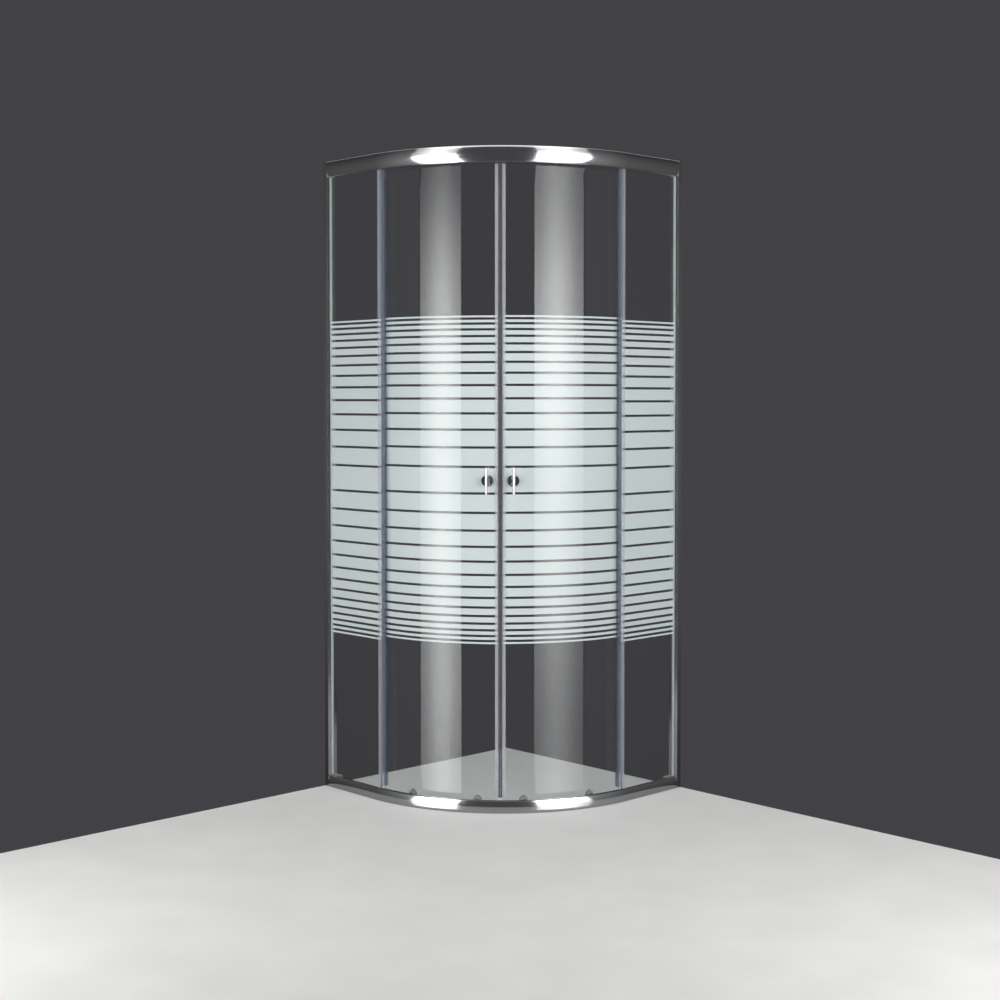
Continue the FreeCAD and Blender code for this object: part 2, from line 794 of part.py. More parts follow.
clip_inner = door_inner - size["seal_gap"] - size["seal_wall"]
clip_outer = door_outer + size["seal_gap"] + size["seal_wall"]
slot_inner = door_inner - size["seal_gap"]
slot_outer = door_outer + size["seal_gap"]
magnet_back = turn_for(size["seam_gap"] + size["magnet_width"] + size["seal_gap"])
slot_bottom = magnet_back + turn_for(size["seal_wall"])
clip_end = slot_bottom + turn_for(size["clip_depth"])
glass_lead = slot_bottom + turn_for(size["seal_gap"])
glass_trail = size["door_angle"] - turn_for(size["seal_wall"] + size["seal_gap"])
fin_start = size["door_angle"] - turn_for(size["trailing_clip"])
fin_stop = fin_start + turn_for(size["seal_wall"])


def make_magnet_carrier():
    """An H section: one slot over the leading edge of the glass, the other for the magnet."""
    mouth = turn_for(size["seam_gap"])
    corners = [
        polar(clip_outer, mouth, -clip_outer),
        polar(clip_outer, clip_end),
        polar(slot_outer, clip_end, slot_outer),
        polar(slot_outer, slot_bottom),
        polar(slot_inner, slot_bottom, -slot_inner),
        polar(slot_inner, clip_end),
        polar(clip_inner, clip_end, clip_inner),
        polar(clip_inner, mouth),
        polar(slot_inner, mouth, -slot_inner),
        polar(slot_inner, magnet_back),
        polar(slot_outer, magnet_back, slot_outer),
        polar(slot_outer, mouth),
    ]
    body = upright("left_magnet_carrier", corners, seal_low, seal_high)
    at_centre(body, seal_low)
    return body


def make_magnet_strip():
    inner, outer = slot_inner + size["seal_gap"], slot_outer - size["seal_gap"]
    mouth = turn_for(size["seam_gap"])
    back = mouth + turn_for(size["magnet_width"])
    corners = [
        polar(outer, mouth, -outer),
        polar(outer, back),
        polar(inner, back, inner),
        polar(inner, mouth),
    ]
    body = upright("left_magnet_strip", corners, seal_low, seal_high)
    at_centre(body, seal_low)
    return body


def make_trailing_seal():
    """A U clip over the trailing edge, with a fin outwards from the end of its outer side."""
    tip = size["corner_radius"] - size["fin_reach"]
    end = size["door_angle"]
    corners = [
        polar(slot_outer, fin_start, -slot_outer),
        polar(slot_outer, glass_trail + turn_for(size["seal_gap"])),
        polar(slot_inner, glass_trail + turn_for(size["seal_gap"]), slot_inner),
        polar(slot_inner, fin_start),
        polar(clip_inner, fin_start, -clip_inner),
        polar(clip_inner, end),
        polar(clip_outer, end, clip_outer),
        polar(clip_outer, fin_stop),
        polar(tip, fin_stop, tip),
        polar(tip, fin_start),
    ]
    body = upright("left_trailing_seal", corners, seal_low, seal_high)
    at_centre(body, seal_low)
    return body


def make_overlap_seal():
    """A U clip over the fixed pane's free edge, with a fin inwards that meets the door's fin."""
    wall, gap = size["seal_wall"], size["seal_gap"]
    outer, inner = size["pane_setback"] - gap, pane_back + gap
    start, end = pane_end - size["overlap_clip"], pane_end + gap + wall
    fin = straight + clip_outer * sine(QUARTER - fin_start) + size["fin_gap"]
    tip = door_front - size["fin_clearance"]
    corners = [
        (start, outer - wall),
        (end, outer - wall),
        (end, inner + wall),
        (fin + wall, inner + wall),
        (fin + wall, tip),
        (fin, tip),
        (fin, inner + wall),
        (start, inner + wall),
        (start, inner),
        (pane_end + gap, inner),
        (pane_end + gap, outer),
        (start, outer),
    ]
    body = upright("left_overlap_seal", corners, seal_low, seal_high)
    at_left_wall(body, seal_low)
    return body


keep_pair("overlap_seal", make_overlap_seal())
keep_pair("magnet_carrier", make_magnet_carrier())
keep_pair("magnet_strip", make_magnet_strip())
keep_pair("trailing_seal", make_trailing_seal())


# Door glass

handle_angle = clip_end + turn_for(size["handle_base_radius"] + size["handle_clearance"])
roller_angles = {"inner": size["inner_roller_angle"], "outer": size["outer_roller_angle"]}


def make_door_glass():
    """A curved pane with round holes for the handle and the four rollers."""
    body = new_body("left_door_glass")
    section = new_sketch(body, "XZ_Plane")
    low, high = size["door_bottom_gap"], size["height"] - size["door_top_gap"]
    rectangle(section, door_inner, door_outer, low, high)
    revolve(body, section, "V_Axis", angle=glass_trail - glass_lead)
    holes = [(handle_angle, size["handle_height"], size["handle_hole_radius"])]
    for angle in roller_angles.values():
        holes.append((angle, top_axle_height, size["top_hole_radius"]))
        holes.append((angle, bottom_hole_height, size["bottom_hole_radius"]))
    for angle, level, radius in holes:
        sketch = new_sketch(body, "YZ_Plane")
        turn = glass_trail - angle
        sketch.AttachmentOffset = FreeCAD.Placement(
            FreeCAD.Vector(), FreeCAD.Rotation(FreeCAD.Vector(0, 1, 0), turn.value)
        )
        sketch.setExpression("AttachmentOffset.Rotation.Angle", f"{turn.formula} * 1 deg")
        circle(sketch, ZERO, level, radius)
        feature(body, "Pocket", sketch, door_outer + size["door_gap"], backwards=True)
    place(body, centre_x, centre_y, ZERO, turn=glass_trail + QUARTER)
    return body


keep_pair("door_glass", make_door_glass())


# Handles


def make_handle(name):
    """A round stepped base on its washer at local x = 0, a neck, and an upright bar."""
    body = new_body(name)
    base = new_sketch(body, "XY_Plane")
    radius, step, neck = size["handle_base_radius"], size["handle_step"], size["handle_neck_radius"]
    flange, deep = size["handle_flange"], size["handle_base_depth"]
    bore = size["stud_radius"] + size["screw_gap"]
    bottom = size["stud_bite"] + size["screw_gap"]
    profile = [
        (ZERO, bore),
        (ZERO, radius),
        (flange - step / 2, radius),
        (flange, radius - step / 2),
        (flange, radius - step),
        (deep - step, radius - step),
        (deep, radius - 2 * step),
        (deep, neck + step),
        (deep + step, neck),
        (size["bar_offset"], neck),
        (size["bar_offset"], ZERO),
        (bottom, ZERO),
        (bottom, bore),
    ]
    outline(base, profile)
    revolve(body, base, "H_Axis")
    bar = new_sketch(body, "XZ_Plane", x=size["bar_offset"])
    half, end, edge = size["bar_length"] / 2, size["bar_end_radius"], size["bar_round"]
    swell = size["bar_radius"] - end
    chord = half - edge
    bend = (chord * chord + swell * swell) / (2 * swell)
    profile = [
        (ZERO, -half),
        (end - edge, -half),
        (end, edge - half, bend),
        (end, half - edge),
        (end - edge, half),
        (ZERO, half),
    ]
    outline(bar, profile)
    revolve(body, bar, "V_Axis")
    return body


def ring_profile(start, stop, bore, radius):
    return [(start, bore), (start, radius), (stop, radius), (stop, bore)]


def rod_profile(start, stop, radius):
    return [(start, ZERO), (start, radius), (stop, radius), (stop, ZERO)]


def make_handle_set():
    """The two handles of the left door, their washers and the stud between them."""
    angle, level = handle_angle, size["handle_height"]
    washer, glass = size["handle_washer"], size["glass_thickness"]
    hollow = sag(size["handle_base_radius"])
    inner_seat = -(glass + hollow)
    turn = angle + QUARTER
    outer = make_handle("left_outer_handle")
    seat = door_outer + washer
    place(outer, centre_x + seat * cosine(turn), centre_y - seat * sine(turn), level, turn=turn)
    inner = make_handle("left_inner_handle")
    seat = door_outer + inner_seat - washer
    x, y = centre_x + seat * cosine(turn), centre_y - seat * sine(turn)
    place(inner, x, y, level, turn=4 * Size.of(QUARTER) - turn, axis=ANTICLOCKWISE)
    bore, radius = size["handle_hole_radius"], size["handle_base_radius"]
    washers = [
        turned("outer_washer", ring_profile(ZERO, washer, bore, radius)),
        turned("inner_washer", ring_profile(inner_seat - washer, inner_seat, bore, radius)),
    ]
    reach = washer + size["stud_bite"]
    stud = turned("left_handle_stud", rod_profile(inner_seat - reach, reach, size["stud_radius"]))
    for thing in washers + [stud]:
        on_door(thing, angle, level)
    keep_pair("outer_handle", outer)
    keep_pair("inner_handle", inner)
    keep_pair("handle_washers", group("left_handle_washers", washers))
    keep_pair("handle_stud", stud)


make_handle_set()


# Rollers, drawn with local x outwards from the outer face of the glass


def make_wheel(name, radius, bore, head_radius, head):
    """A wheel with hollow sides and a counterbore for the head of its axle or pin."""
    near, far = wheel_near, wheel_far
    edge, hollow, rim = size["wheel_chamfer"], size["wheel_recess"], size["wheel_rim"]
    hole = bore + size["bearing_gap"]
    hub = head_radius + size["running_gap"] + edge
    counterbore = far - head - 2 * size["running_gap"]
    profile = [
        (near, hole),
        (near, hub),
        (near + hollow, hub),
        (near + hollow, radius - rim),
        (near, radius - rim),
        (near, radius - edge),
        (near + edge, radius),
        (far - edge, radius),
        (far, radius - edge),
        (far, radius - rim),
        (far - hollow, radius - rim),
        (far - hollow, hub),
        (far, hub),
        (far, head_radius + size["running_gap"]),
        (counterbore, head_radius + size["running_gap"]),
        (counterbore, hole),
    ]
    return turned(name, profile)


def make_axle_bolt(name):
    """Headed bolt: its head in the wheel's counterbore, its end in the cap nut inside."""
    radius, head = size["axle_radius"], size["axle_head"]
    end = wheel_far - size["running_gap"]
    profile = [
        (nut_seat - size["nut_bite"], ZERO),
        (nut_seat - size["nut_bite"], radius),
        (end - head, radius),
        (end - head, size["axle_head_radius"]),
        (end, size["axle_head_radius"]),
        (end, ZERO),
    ]
    return turned(name, profile)


def make_spacer(name):
    """Bush through the glass, flange on the glass and sleeve up to the wheel."""
    bush = size["top_hole_radius"] - size["hole_gap"]
    bore = size["axle_radius"] + size["screw_gap"]
    profile = [
        (size["hole_gap"] - size["glass_thickness"], bore),
        (size["hole_gap"] - size["glass_thickness"], bush),
        (ZERO, bush),
        (ZERO, size["spacer_flange_radius"]),
        (size["spacer_flange"], size["spacer_flange_radius"]),
        (size["spacer_flange"], size["spacer_radius"]),
        (wheel_near - size["running_gap"], size["spacer_radius"]),
        (wheel_near - size["running_gap"], bore),
    ]
    return turned(name, profile)


def make_cap_nut(name):
    radius, deep, edge = size["nut_radius"], size["nut_depth"], size["nut_chamfer"]
    bore, bottom = size["axle_radius"] + size["screw_gap"], size["nut_bite"] + size["screw_gap"]
    profile = [
        (nut_seat, bore),
        (nut_seat, radius),
        (nut_seat - deep + edge, radius),
        (nut_seat - deep, radius - edge),
        (nut_seat - deep, ZERO),
        (nut_seat - bottom, ZERO),
        (nut_seat - bottom, bore),
    ]
    return turned(name, profile)


nut_seat = -(size["glass_thickness"] + sag(size["nut_radius"]))
housing_seat = -(size["glass_thickness"] + sag(size["housing_radius"]))
slider_low = -(size["slider_height"] + size["release_lift"]) / 2
slider_high = slider_low + size["slider_height"]
hollow_low = slider_low - size["slider_gap"]
hollow_high = slider_high + size["spring_room"]
slot_half = size["pin_radius"] + size["slider_gap"]
neck_gap = size["neck_width"] / 2 + size["slider_gap"]
slider_back = housing_seat - size["cavity_depth"] + size["slider_gap"]


def make_housing(name):
    """Round housing inside the glass, with a snout through the glass and a hollow for the slider."""
    radius, edge, deep = size["housing_radius"], size["housing_chamfer"], size["housing_depth"]
    snout = size["bottom_hole_radius"] - size["hole_gap"]
    profile = [
        (housing_seat - deep, ZERO),
        (housing_seat - deep, radius - edge),
        (housing_seat - deep + edge, radius),
        (housing_seat, radius),
        (housing_seat, snout),
        (size["ring_depth"], snout),
        (size["ring_depth"], ZERO),
    ]
    body = turned(name, profile)
    hollow = new_sketch(body, "YZ_Plane", lift=housing_seat)
    half = size["slider_width"] / 2 + size["slider_gap"]
    rectangle(hollow, -half, half, hollow_low, hollow_high)
    feature(body, "Pocket", hollow, size["cavity_depth"])
    slot = new_sketch(body, "YZ_Plane", lift=size["ring_depth"])
    rise = size["release_lift"] / 2 + slot_half
    rectangle(slot, -slot_half, slot_half, -rise, rise)
    feature(body, "Pocket", slot, size["ring_depth"] - housing_seat)
    throat = new_sketch(body, "YZ_Plane", lift=slider_back + size["neck_depth"] + size["slider_gap"])
    rectangle(throat, -neck_gap, neck_gap, ZERO, radius + size["slider_gap"])
    feature(body, "Pocket", throat, size["neck_depth"] + 2 * size["slider_gap"])
    return body


def make_slider(name):
    """Release slider: a block with the wheel pin, a neck through the housing and a pointed tab."""
    body = new_body(name)
    half, neck, tab = size["slider_width"] / 2, size["neck_width"] / 2, size["tab_width"] / 2
    block = new_sketch(body, "YZ_Plane", lift=slider_back)
    rectangle(block, -half, half, slider_low, slider_high)
    feature(body, "Pad", block, size["cavity_depth"] - 2 * size["slider_gap"])
    shoulder = size["housing_radius"] + size["slider_gap"]
    lift = new_sketch(body, "YZ_Plane", lift=slider_back)
    corners = [
        (-neck, slider_low),
        (neck, slider_low),
        (neck, shoulder),
        (tab, shoulder),
        (ZERO, shoulder + size["tab_height"]),
        (-tab, shoulder),
        (-neck, shoulder),
    ]
    outline(lift, corners)
    feature(body, "Pad", lift, size["neck_depth"])
    pin = new_sketch(body, "YZ_Plane", lift=slider_back)
    level = -size["release_lift"] / 2
    circle(pin, ZERO, level, size["pin_radius"])
    end = wheel_far - size["running_gap"]
    feature(body, "Pad", pin, end - slider_back)
    head = new_sketch(body, "YZ_Plane", lift=end - size["axle_head"])
    circle(head, ZERO, level, size["pin_head_radius"])
    feature(body, "Pad", head, size["axle_head"])
    return body


def make_spring(name):
    """A flat wire folded to and fro between the slider and the roof of the housing's hollow."""
    body = new_body(name)
    front = slider_back + size["neck_depth"] + size["slider_gap"]
    sketch = new_sketch(body, "YZ_Plane", lift=front)
    wire, half = size["spring_wire"], size["slider_width"] / 2 - size["slider_gap"]
    legs = int(size["spring_legs"].value)
    low = slider_high + size["seal_gap"]
    step = (size["spring_room"] - 2 * size["seal_gap"] - wire) / (legs - 1)
    right, left = [(half, low)], [(-half, low)]
    for leg in range(legs - 1):
        under, over = low + leg * step + wire, low + (leg + 1) * step
        inside = half - wire
        if leg % 2:
            right += [(half, under), (-inside, under), (-inside, over), (half, over)]
        else:
            left += [(-half, under), (inside, under), (inside, over), (-half, over)]
    top = low + (legs - 1) * step + wire
    right.append((half, top))
    left.append((-half, top))
    outline(sketch, right + left[::-1])
    feature(body, "Pad", sketch, housing_seat - size["slider_gap"] - front)
    return body


def make_rollers():
    """Both top rollers and both bottom rollers of the left door."""
    bolts, spacers, nuts, housings, rings = [], [], [], [], []
    for place_name, angle in roller_angles.items():
        bore, head = size["axle_radius"], size["axle_head"]
        head_radius = size["axle_head_radius"]
        wheel_radius = size["top_wheel_radius"]
        wheel = make_wheel(f"left_{place_name}_top_wheel", wheel_radius, bore, head_radius, head)
        bolts.append(make_axle_bolt("axle_bolt"))
        spacers.append(make_spacer("roller_spacer"))
        nuts.append(make_cap_nut("cap_nut"))
        for thing in (wheel, bolts[-1], spacers[-1], nuts[-1]):
            on_door(thing, angle, top_axle_height)
        keep_pair(f"{place_name}_top_wheel", wheel)

        bore, head_radius = size["pin_radius"], size["pin_head_radius"]
        wheel_radius = size["bottom_wheel_radius"]
        wheel = make_wheel(f"left_{place_name}_bottom_wheel", wheel_radius, bore, head_radius, head)
        on_door(wheel, angle, pin_height)
        slider = make_slider(f"left_{place_name}_release_slider")
        spring = make_spring(f"left_{place_name}_return_spring")
        housings.append(make_housing("roller_housing"))
        snout = size["bottom_hole_radius"] - size["hole_gap"] + size["screw_gap"]
        rings.append(turned("ring_nut", ring_profile(ZERO, size["ring_depth"], snout, size["ring_radius"])))
        for thing in (slider, spring, housings[-1], rings[-1]):
            on_door(thing, angle, bottom_hole_height)
        keep_pair(f"{place_name}_bottom_wheel", wheel)
        keep_pair(f"{place_name}_release_slider", slider)
        keep_pair(f"{place_name}_return_spring", spring)
    keep_pair("axle_bolts", group("left_axle_bolts", bolts))
    keep_pair("roller_spacers", group("left_roller_spacers", spacers))
    keep_pair("cap_nuts", group("left_cap_nuts", nuts))
    keep_pair("roller_housings", group("left_roller_housings", housings))
    keep_pair("ring_nuts", group("left_ring_nuts", rings))


make_rollers()


# Write the pieces

doc.recompute()
for thing in doc.Objects:
    if "Invalid" in thing.State or "Error" in thing.State:
        raise SystemExit(f"{thing.Label} failed: {thing.getStatusString()}")
for node in nodes:
    if node.Shape.isNull() or not node.Shape.isValid():
        raise SystemExit(f"{node.Label} has no valid shape")
os.makedirs("parts", exist_ok=True)
for node in nodes:
    node.Shape.exportStep(f"parts/{node.Label}.step")
    print(node.Label, len(node.Shape.Solids), "solids", round(node.Shape.Volume), "mm3")
print(len(nodes), "pieces")
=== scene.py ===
"""Looks of the quadrant shower door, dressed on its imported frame.

Metres, +Z up, in the part's own frame: the walls stand at -X and +Y, and the rounded corner points to
+X -Y. "Left" and "right" are as seen from outside, facing the rounded corner.
"""

import json
import math

import bmesh
import bpy
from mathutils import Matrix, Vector
from mathutils.geometry import delaunay_2d_cdt


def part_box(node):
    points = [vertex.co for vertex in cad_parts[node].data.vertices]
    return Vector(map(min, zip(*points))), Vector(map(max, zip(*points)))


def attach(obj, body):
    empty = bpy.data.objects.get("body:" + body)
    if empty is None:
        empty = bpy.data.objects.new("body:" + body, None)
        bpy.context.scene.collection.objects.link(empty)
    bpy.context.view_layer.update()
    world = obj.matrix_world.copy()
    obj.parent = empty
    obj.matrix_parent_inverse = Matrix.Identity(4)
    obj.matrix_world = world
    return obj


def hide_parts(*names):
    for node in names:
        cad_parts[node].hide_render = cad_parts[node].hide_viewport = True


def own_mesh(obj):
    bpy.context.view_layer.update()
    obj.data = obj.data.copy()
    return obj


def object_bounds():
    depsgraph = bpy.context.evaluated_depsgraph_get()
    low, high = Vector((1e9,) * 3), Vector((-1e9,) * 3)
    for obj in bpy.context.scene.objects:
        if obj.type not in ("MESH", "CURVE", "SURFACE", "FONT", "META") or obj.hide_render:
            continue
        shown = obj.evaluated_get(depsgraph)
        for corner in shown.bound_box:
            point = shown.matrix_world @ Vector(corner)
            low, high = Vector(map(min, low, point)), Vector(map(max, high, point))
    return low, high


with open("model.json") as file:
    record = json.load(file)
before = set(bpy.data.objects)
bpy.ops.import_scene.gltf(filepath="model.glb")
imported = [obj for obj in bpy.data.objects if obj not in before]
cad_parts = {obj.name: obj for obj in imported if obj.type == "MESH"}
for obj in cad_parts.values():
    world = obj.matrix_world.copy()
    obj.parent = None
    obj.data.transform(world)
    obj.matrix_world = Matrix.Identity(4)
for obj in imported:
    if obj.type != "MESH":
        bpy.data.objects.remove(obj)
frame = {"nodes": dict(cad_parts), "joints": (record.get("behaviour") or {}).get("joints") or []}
cad_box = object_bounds()

MM = 0.001
SIDES = ("left", "right")
JOINTS = {joint["name"]: joint for joint in frame["joints"]}

# Places read from the frame
LOW, HIGH = cad_box
HALF_WIDTH = HIGH.x
HEIGHT = HIGH.z
CENTRE = Vector(JOINTS["left_door_slide"]["pos_m"]).to_2d()
CORNER_RADIUS = HALF_WIDTH - CENTRE.x
APEX = Vector((1, -1)).normalized()
RAIL_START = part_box("bottom_rail")[0].x - LOW.x


def plan_angle(side, turn):
    """Direction in plan, at an angle in degrees from the middle of the corner towards a side."""
    sign = -1 if side == "left" else 1
    return math.radians(sign * turn - 45)


def on_arc(radius, angle):
    """A point in plan round the centre of the corner arc."""
    return CENTRE + radius * Vector((math.cos(angle), math.sin(angle)))


# Materials


def feed(owner, value, socket):
    """Links an output to a socket of a material or world, or sets the socket to a plain value."""
    if isinstance(value, bpy.types.NodeSocket):
        owner.node_tree.links.new(value, socket)
    else:
        socket.default_value = value


def node(owner, kind, **settings):
    """A new node in a material or world; the settings are sockets or properties of the node."""
    made = owner.node_tree.nodes.new(kind)
    for name, value in settings.items():
        if name in made.inputs:
            made.inputs[name].default_value = value
        else:
            setattr(made, name, value)
    return made


def math_of(owner, operation, *values, clamp=False):
    made = node(owner, "ShaderNodeMath", operation=operation, use_clamp=clamp)
    for value, socket in zip(values, made.inputs):
        feed(owner, value, socket)
    return made.outputs[0]


def map_range(material, value, source, target):
    """A value carried over from one (low, high) range to another."""
    span = node(material, "ShaderNodeMapRange")
    feed(material, value, span.inputs["Value"])
    for name, ends in (("From", source), ("To", target)):
        span.inputs[f"{name} Min"].default_value, span.inputs[f"{name} Max"].default_value = ends
    return span.outputs["Result"]


def colour_ramp(material, value, stops, blend="LINEAR"):
    """Colour that goes with a value, by (value, colour) stops."""
    ramp = node(material, "ShaderNodeValToRGB")
    ramp.color_ramp.interpolation = blend
    elements = ramp.color_ramp.elements
    while len(elements) < len(stops):
        elements.new(1)
    for element, (place, colour) in zip(elements, stops):
        element.position = place
        element.color = (*colour, 1)
    feed(material, value, ramp.inputs["Fac"])
    return ramp.outputs["Color"]


def mix_shaders(owner, share, first, second):
    """Two shaders mixed; the share is the second one's."""
    mix = node(owner, "ShaderNodeMixShader")
    for value, socket in zip((share, first, second), mix.inputs):
        feed(owner, value, socket)
    return mix.outputs["Shader"]


def principled(material):
    return material.node_tree.nodes["Principled BSDF"]


def surface_of(material):
    return material.node_tree.nodes["Material Output"].inputs["Surface"]


def clear_where(material, share, tint=(1, 1, 1)):
    """Makes a finished material see-through by a share, with a tint."""
    surface = surface_of(material)
    clear = node(material, "ShaderNodeBsdfTransparent", Color=(*tint, 1))
    shader = surface.links[0].from_socket
    feed(material, mix_shaders(material, share, shader, clear.outputs["BSDF"]), surface)


def new_material(name, **values):
    """A material of one Principled shader; the values are its sockets, with _ for a space."""
    made = bpy.data.materials.new(name)
    made.use_nodes = True
    for socket, value in values.items():
        principled(made).inputs[socket.replace("_", " ")].default_value = value
    return made


def noise(material, scale, stretch=(1, 1, 1), detail=3, coordinates="Object"):
    """A noise pattern, in metres, drawn out along the axes by the stretch."""
    place = node(material, "ShaderNodeTexCoord")
    mapping = node(material, "ShaderNodeMapping", Scale=stretch)
    pattern = node(material, "ShaderNodeTexNoise", Scale=scale, Detail=detail)
    feed(material, place.outputs[coordinates], mapping.inputs["Vector"])
    feed(material, mapping.outputs["Vector"], pattern.inputs["Vector"])
    return pattern.outputs["Fac"]


NOISE_RANGE = 0.3, 0.7


def vary_roughness(material, pattern, low, high):
    roughness = map_range(material, pattern, NOISE_RANGE, (low, high))
    feed(material, roughness, principled(material).inputs["Roughness"])


def vary_colour(material, pattern, dark, light):
    colour = colour_ramp(material, pattern, list(zip(NOISE_RANGE, (dark, light))))
    feed(material, colour, principled(material).inputs["Base Color"])


def add_bump(material, pattern, strength, depth):
    bump = node(material, "ShaderNodeBump", Strength=strength, Distance=depth)
    feed(material, pattern, bump.inputs["Height"])
    feed(material, bump.outputs["Normal"], principled(material).inputs["Normal"])


def let_lamps_through(material, tint):
    """Light from the lamps passes, so that what is behind is lit; a sheet tints it at both faces."""
    path = node(material, "ShaderNodeLightPath")
    lighting = math_of(material, "MAXIMUM", path.outputs["Is Shadow Ray"], path.outputs["Is Diffuse Ray"])
    clear_where(material, lighting, [math.sqrt(part) for part in tint])


def make_metal(name, coordinates, stretch):
    """Bright polished extrusion: fine die lines along its length and a faint haze."""
    made = new_material(name, Base_Color=(0.84, 0.845, 0.86, 1), Metallic=1)
    lines = noise(made, 1, stretch, coordinates=coordinates)
    vary_roughness(made, lines, 0.08, 0.15)
    add_bump(made, lines, 0.05, 0.00005)
    return made


def make_chrome():
    made = new_material("chrome", Base_Color=(0.62, 0.615, 0.62, 1), Metallic=1)
    vary_roughness(made, noise(made, 140), 0.03, 0.075)
    return made


def make_glass(name, tint):
    """Clear toughened glass, with the faint roller wave of the toughening oven."""
    made = new_material(name, Base_Color=(*tint, 1), Roughness=0, IOR=1.5, Transmission_Weight=1)
    add_bump(made, noise(made, 1, (5, 5, 14), detail=1), 0.02, 0.0004)
    let_lamps_through(made, tint)
    return made


def make_print():
    """White ceramic print, fused into the glass; some of the light shines through it."""
    made = new_material("white_print", Specular_IOR_Level=0)
    grain = noise(made, 900)
    vary_colour(made, grain, (0.83, 0.895, 0.895), (0.88, 0.945, 0.945))
    vary_roughness(made, grain, 0.5, 0.65)
    colour = principled(made).inputs["Base Color"].links[0].from_socket
    through = node(made, "ShaderNodeBsdfTranslucent")
    feed(made, colour, through.inputs["Color"])
    faces = principled(made).outputs["BSDF"], through.outputs["BSDF"]
    feed(made, mix_shaders(made, PRINT_THROUGH, *faces), surface_of(made))
    let_lamps_through(made, PRINT_TINT)
    return made


def make_vinyl(name, tint, clearness):
    """Soft vinyl of the seals; what isn't clear is milky."""
    made = new_material(name, Base_Color=(*tint, 1), IOR=1.46, Transmission_Weight=clearness)
    vary_roughness(made, noise(made, 1, (400, 400, 4)), 0.06, 0.14)
    let_lamps_through(made, tint)
    return made


def make_zoned_vinyl(name, axis, offset, edge, near, far):
    """Vinyl of two looks, each a (tint, clearness): one near a plane, up to an edge, and one beyond it."""
    made = make_vinyl(name, *far)
    place = node(made, "ShaderNodeTexCoord")
    along = node(made, "ShaderNodeVectorMath", operation="DOT_PRODUCT")
    feed(made, place.outputs["Object"], along.inputs[0])
    feed(made, axis, along.inputs[1])
    distance = math_of(made, "ABSOLUTE", math_of(made, "SUBTRACT", along.outputs["Value"], offset))
    fade = edge, edge + ZONE_FADE
    (near_tint, near_clearness), (far_tint, far_clearness) = near, far
    beyond = map_range(made, distance, fade, (0, 1))
    tint = colour_ramp(made, beyond, [(0, near_tint), (1, far_tint)])
    clearness = map_range(made, distance, fade, (near_clearness, far_clearness))
    feed(made, tint, principled(made).inputs["Base Color"])
    feed(made, clearness, principled(made).inputs["Transmission Weight"])
    return made


def make_seam_vinyl():
    """Vinyl of the magnet carriers: clear over the magnet, milky over the glass."""
    strip = frame["nodes"]["left_magnet_strip"].data.vertices
    edge = max(abs(vertex.co.x + vertex.co.y) for vertex in strip) * APEX.x
    across = (-APEX.y, APEX.x, 0)
    return make_zoned_vinyl("seam_vinyl", across, 0, edge, (VINYL_TINT, 0.98), (VINYL_TINT, 0.82))


def make_overlap_vinyl(side):
    """Vinyl of a fixed pane's free edge: milky where it grips the glass, clear on its fin."""
    low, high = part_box(f"{side}_fixed_pane")
    inward = Vector((0, 1, 0)) if side == "left" else Vector((-1, 0, 0))
    offset = (low + high).dot(inward) / 2
    edge = abs((high - low).dot(inward)) / 2 + GRIP_WALL
    looks = (VINYL_TINT, 0.85), (FIN_TINT, 0.93)
    return make_zoned_vinyl(f"{side}_overlap_vinyl", inward, offset, edge, *looks)


def make_plastic(name, dark, light, roughness, grain=1400):
    made = new_material(name)
    pattern = noise(made, grain, detail=2)
    vary_colour(made, noise(made, 45), dark, light)
    vary_roughness(made, pattern, *roughness)
    add_bump(made, pattern, 0.12, 0.00008)
    return made


def make_steel():
    made = new_material("stainless_steel", Base_Color=(0.62, 0.62, 0.63, 1), Metallic=1)
    lines = noise(made, 1, (1500, 1500, 250))
    vary_roughness(made, lines, 0.2, 0.34)
    add_bump(made, lines, 0.08, 0.00003)
    return made


UPRIGHT_LINES = (700, 700, 3)
RAIL_LINES = (700, 3, 1)
GLASS_TINT = (0.82, 0.85, 0.842)
EDGE_TINT = (0.42, 0.68, 0.58)
PRINT_TINT = (0.3, 0.32, 0.32)
PRINT_THROUGH = 0.25
VINYL_TINT = (0.82, 0.83, 0.87)
DOOR_VINYL_TINT = (0.68, 0.72, 0.8)
GASKET_TINT = (0.82, 0.87, 0.85)
FIN_TINT = (0.76, 0.8, 0.9)
ZONE_FADE = 0.8 * MM
GRIP_WALL = 1.3 * MM

upright_metal = make_metal("polished_upright", "Object", UPRIGHT_LINES)
rail_metal = make_metal("polished_rail", "UV", RAIL_LINES)
chrome = make_chrome()
glass = make_glass("clear_glass", GLASS_TINT)
glass_edge = make_glass("glass_edge", EDGE_TINT)
white_print = make_print()
gasket_vinyl = make_vinyl("gasket_vinyl", GASKET_TINT, 0.7)
door_vinyl = make_vinyl("door_vinyl", DOOR_VINYL_TINT, 0.97)
seam_vinyl = make_seam_vinyl()
magnet = make_plastic("bonded_magnet", (0.05, 0.04, 0.042), (0.075, 0.062, 0.064), (0.5, 0.65))
grey_plastic = make_plastic("grey_plastic", (0.3, 0.305, 0.3), (0.35, 0.355, 0.35), (0.38, 0.52))
nylon = make_plastic("wheel_nylon", (0.74, 0.73, 0.69), (0.8, 0.79, 0.76), (0.32, 0.44))
rubber = make_plastic("black_rubber", (0.018, 0.018, 0.019), (0.03, 0.03, 0.031), (0.65, 0.85), grain=800)
steel = make_steel()


# Pieces that keep their CAD shape: a finish, softened edges and even shading


WELD_REACH = 0.002 * MM
FLAT_WITHIN = math.radians(0.5)
SOFTEN_FROM = math.radians(35)


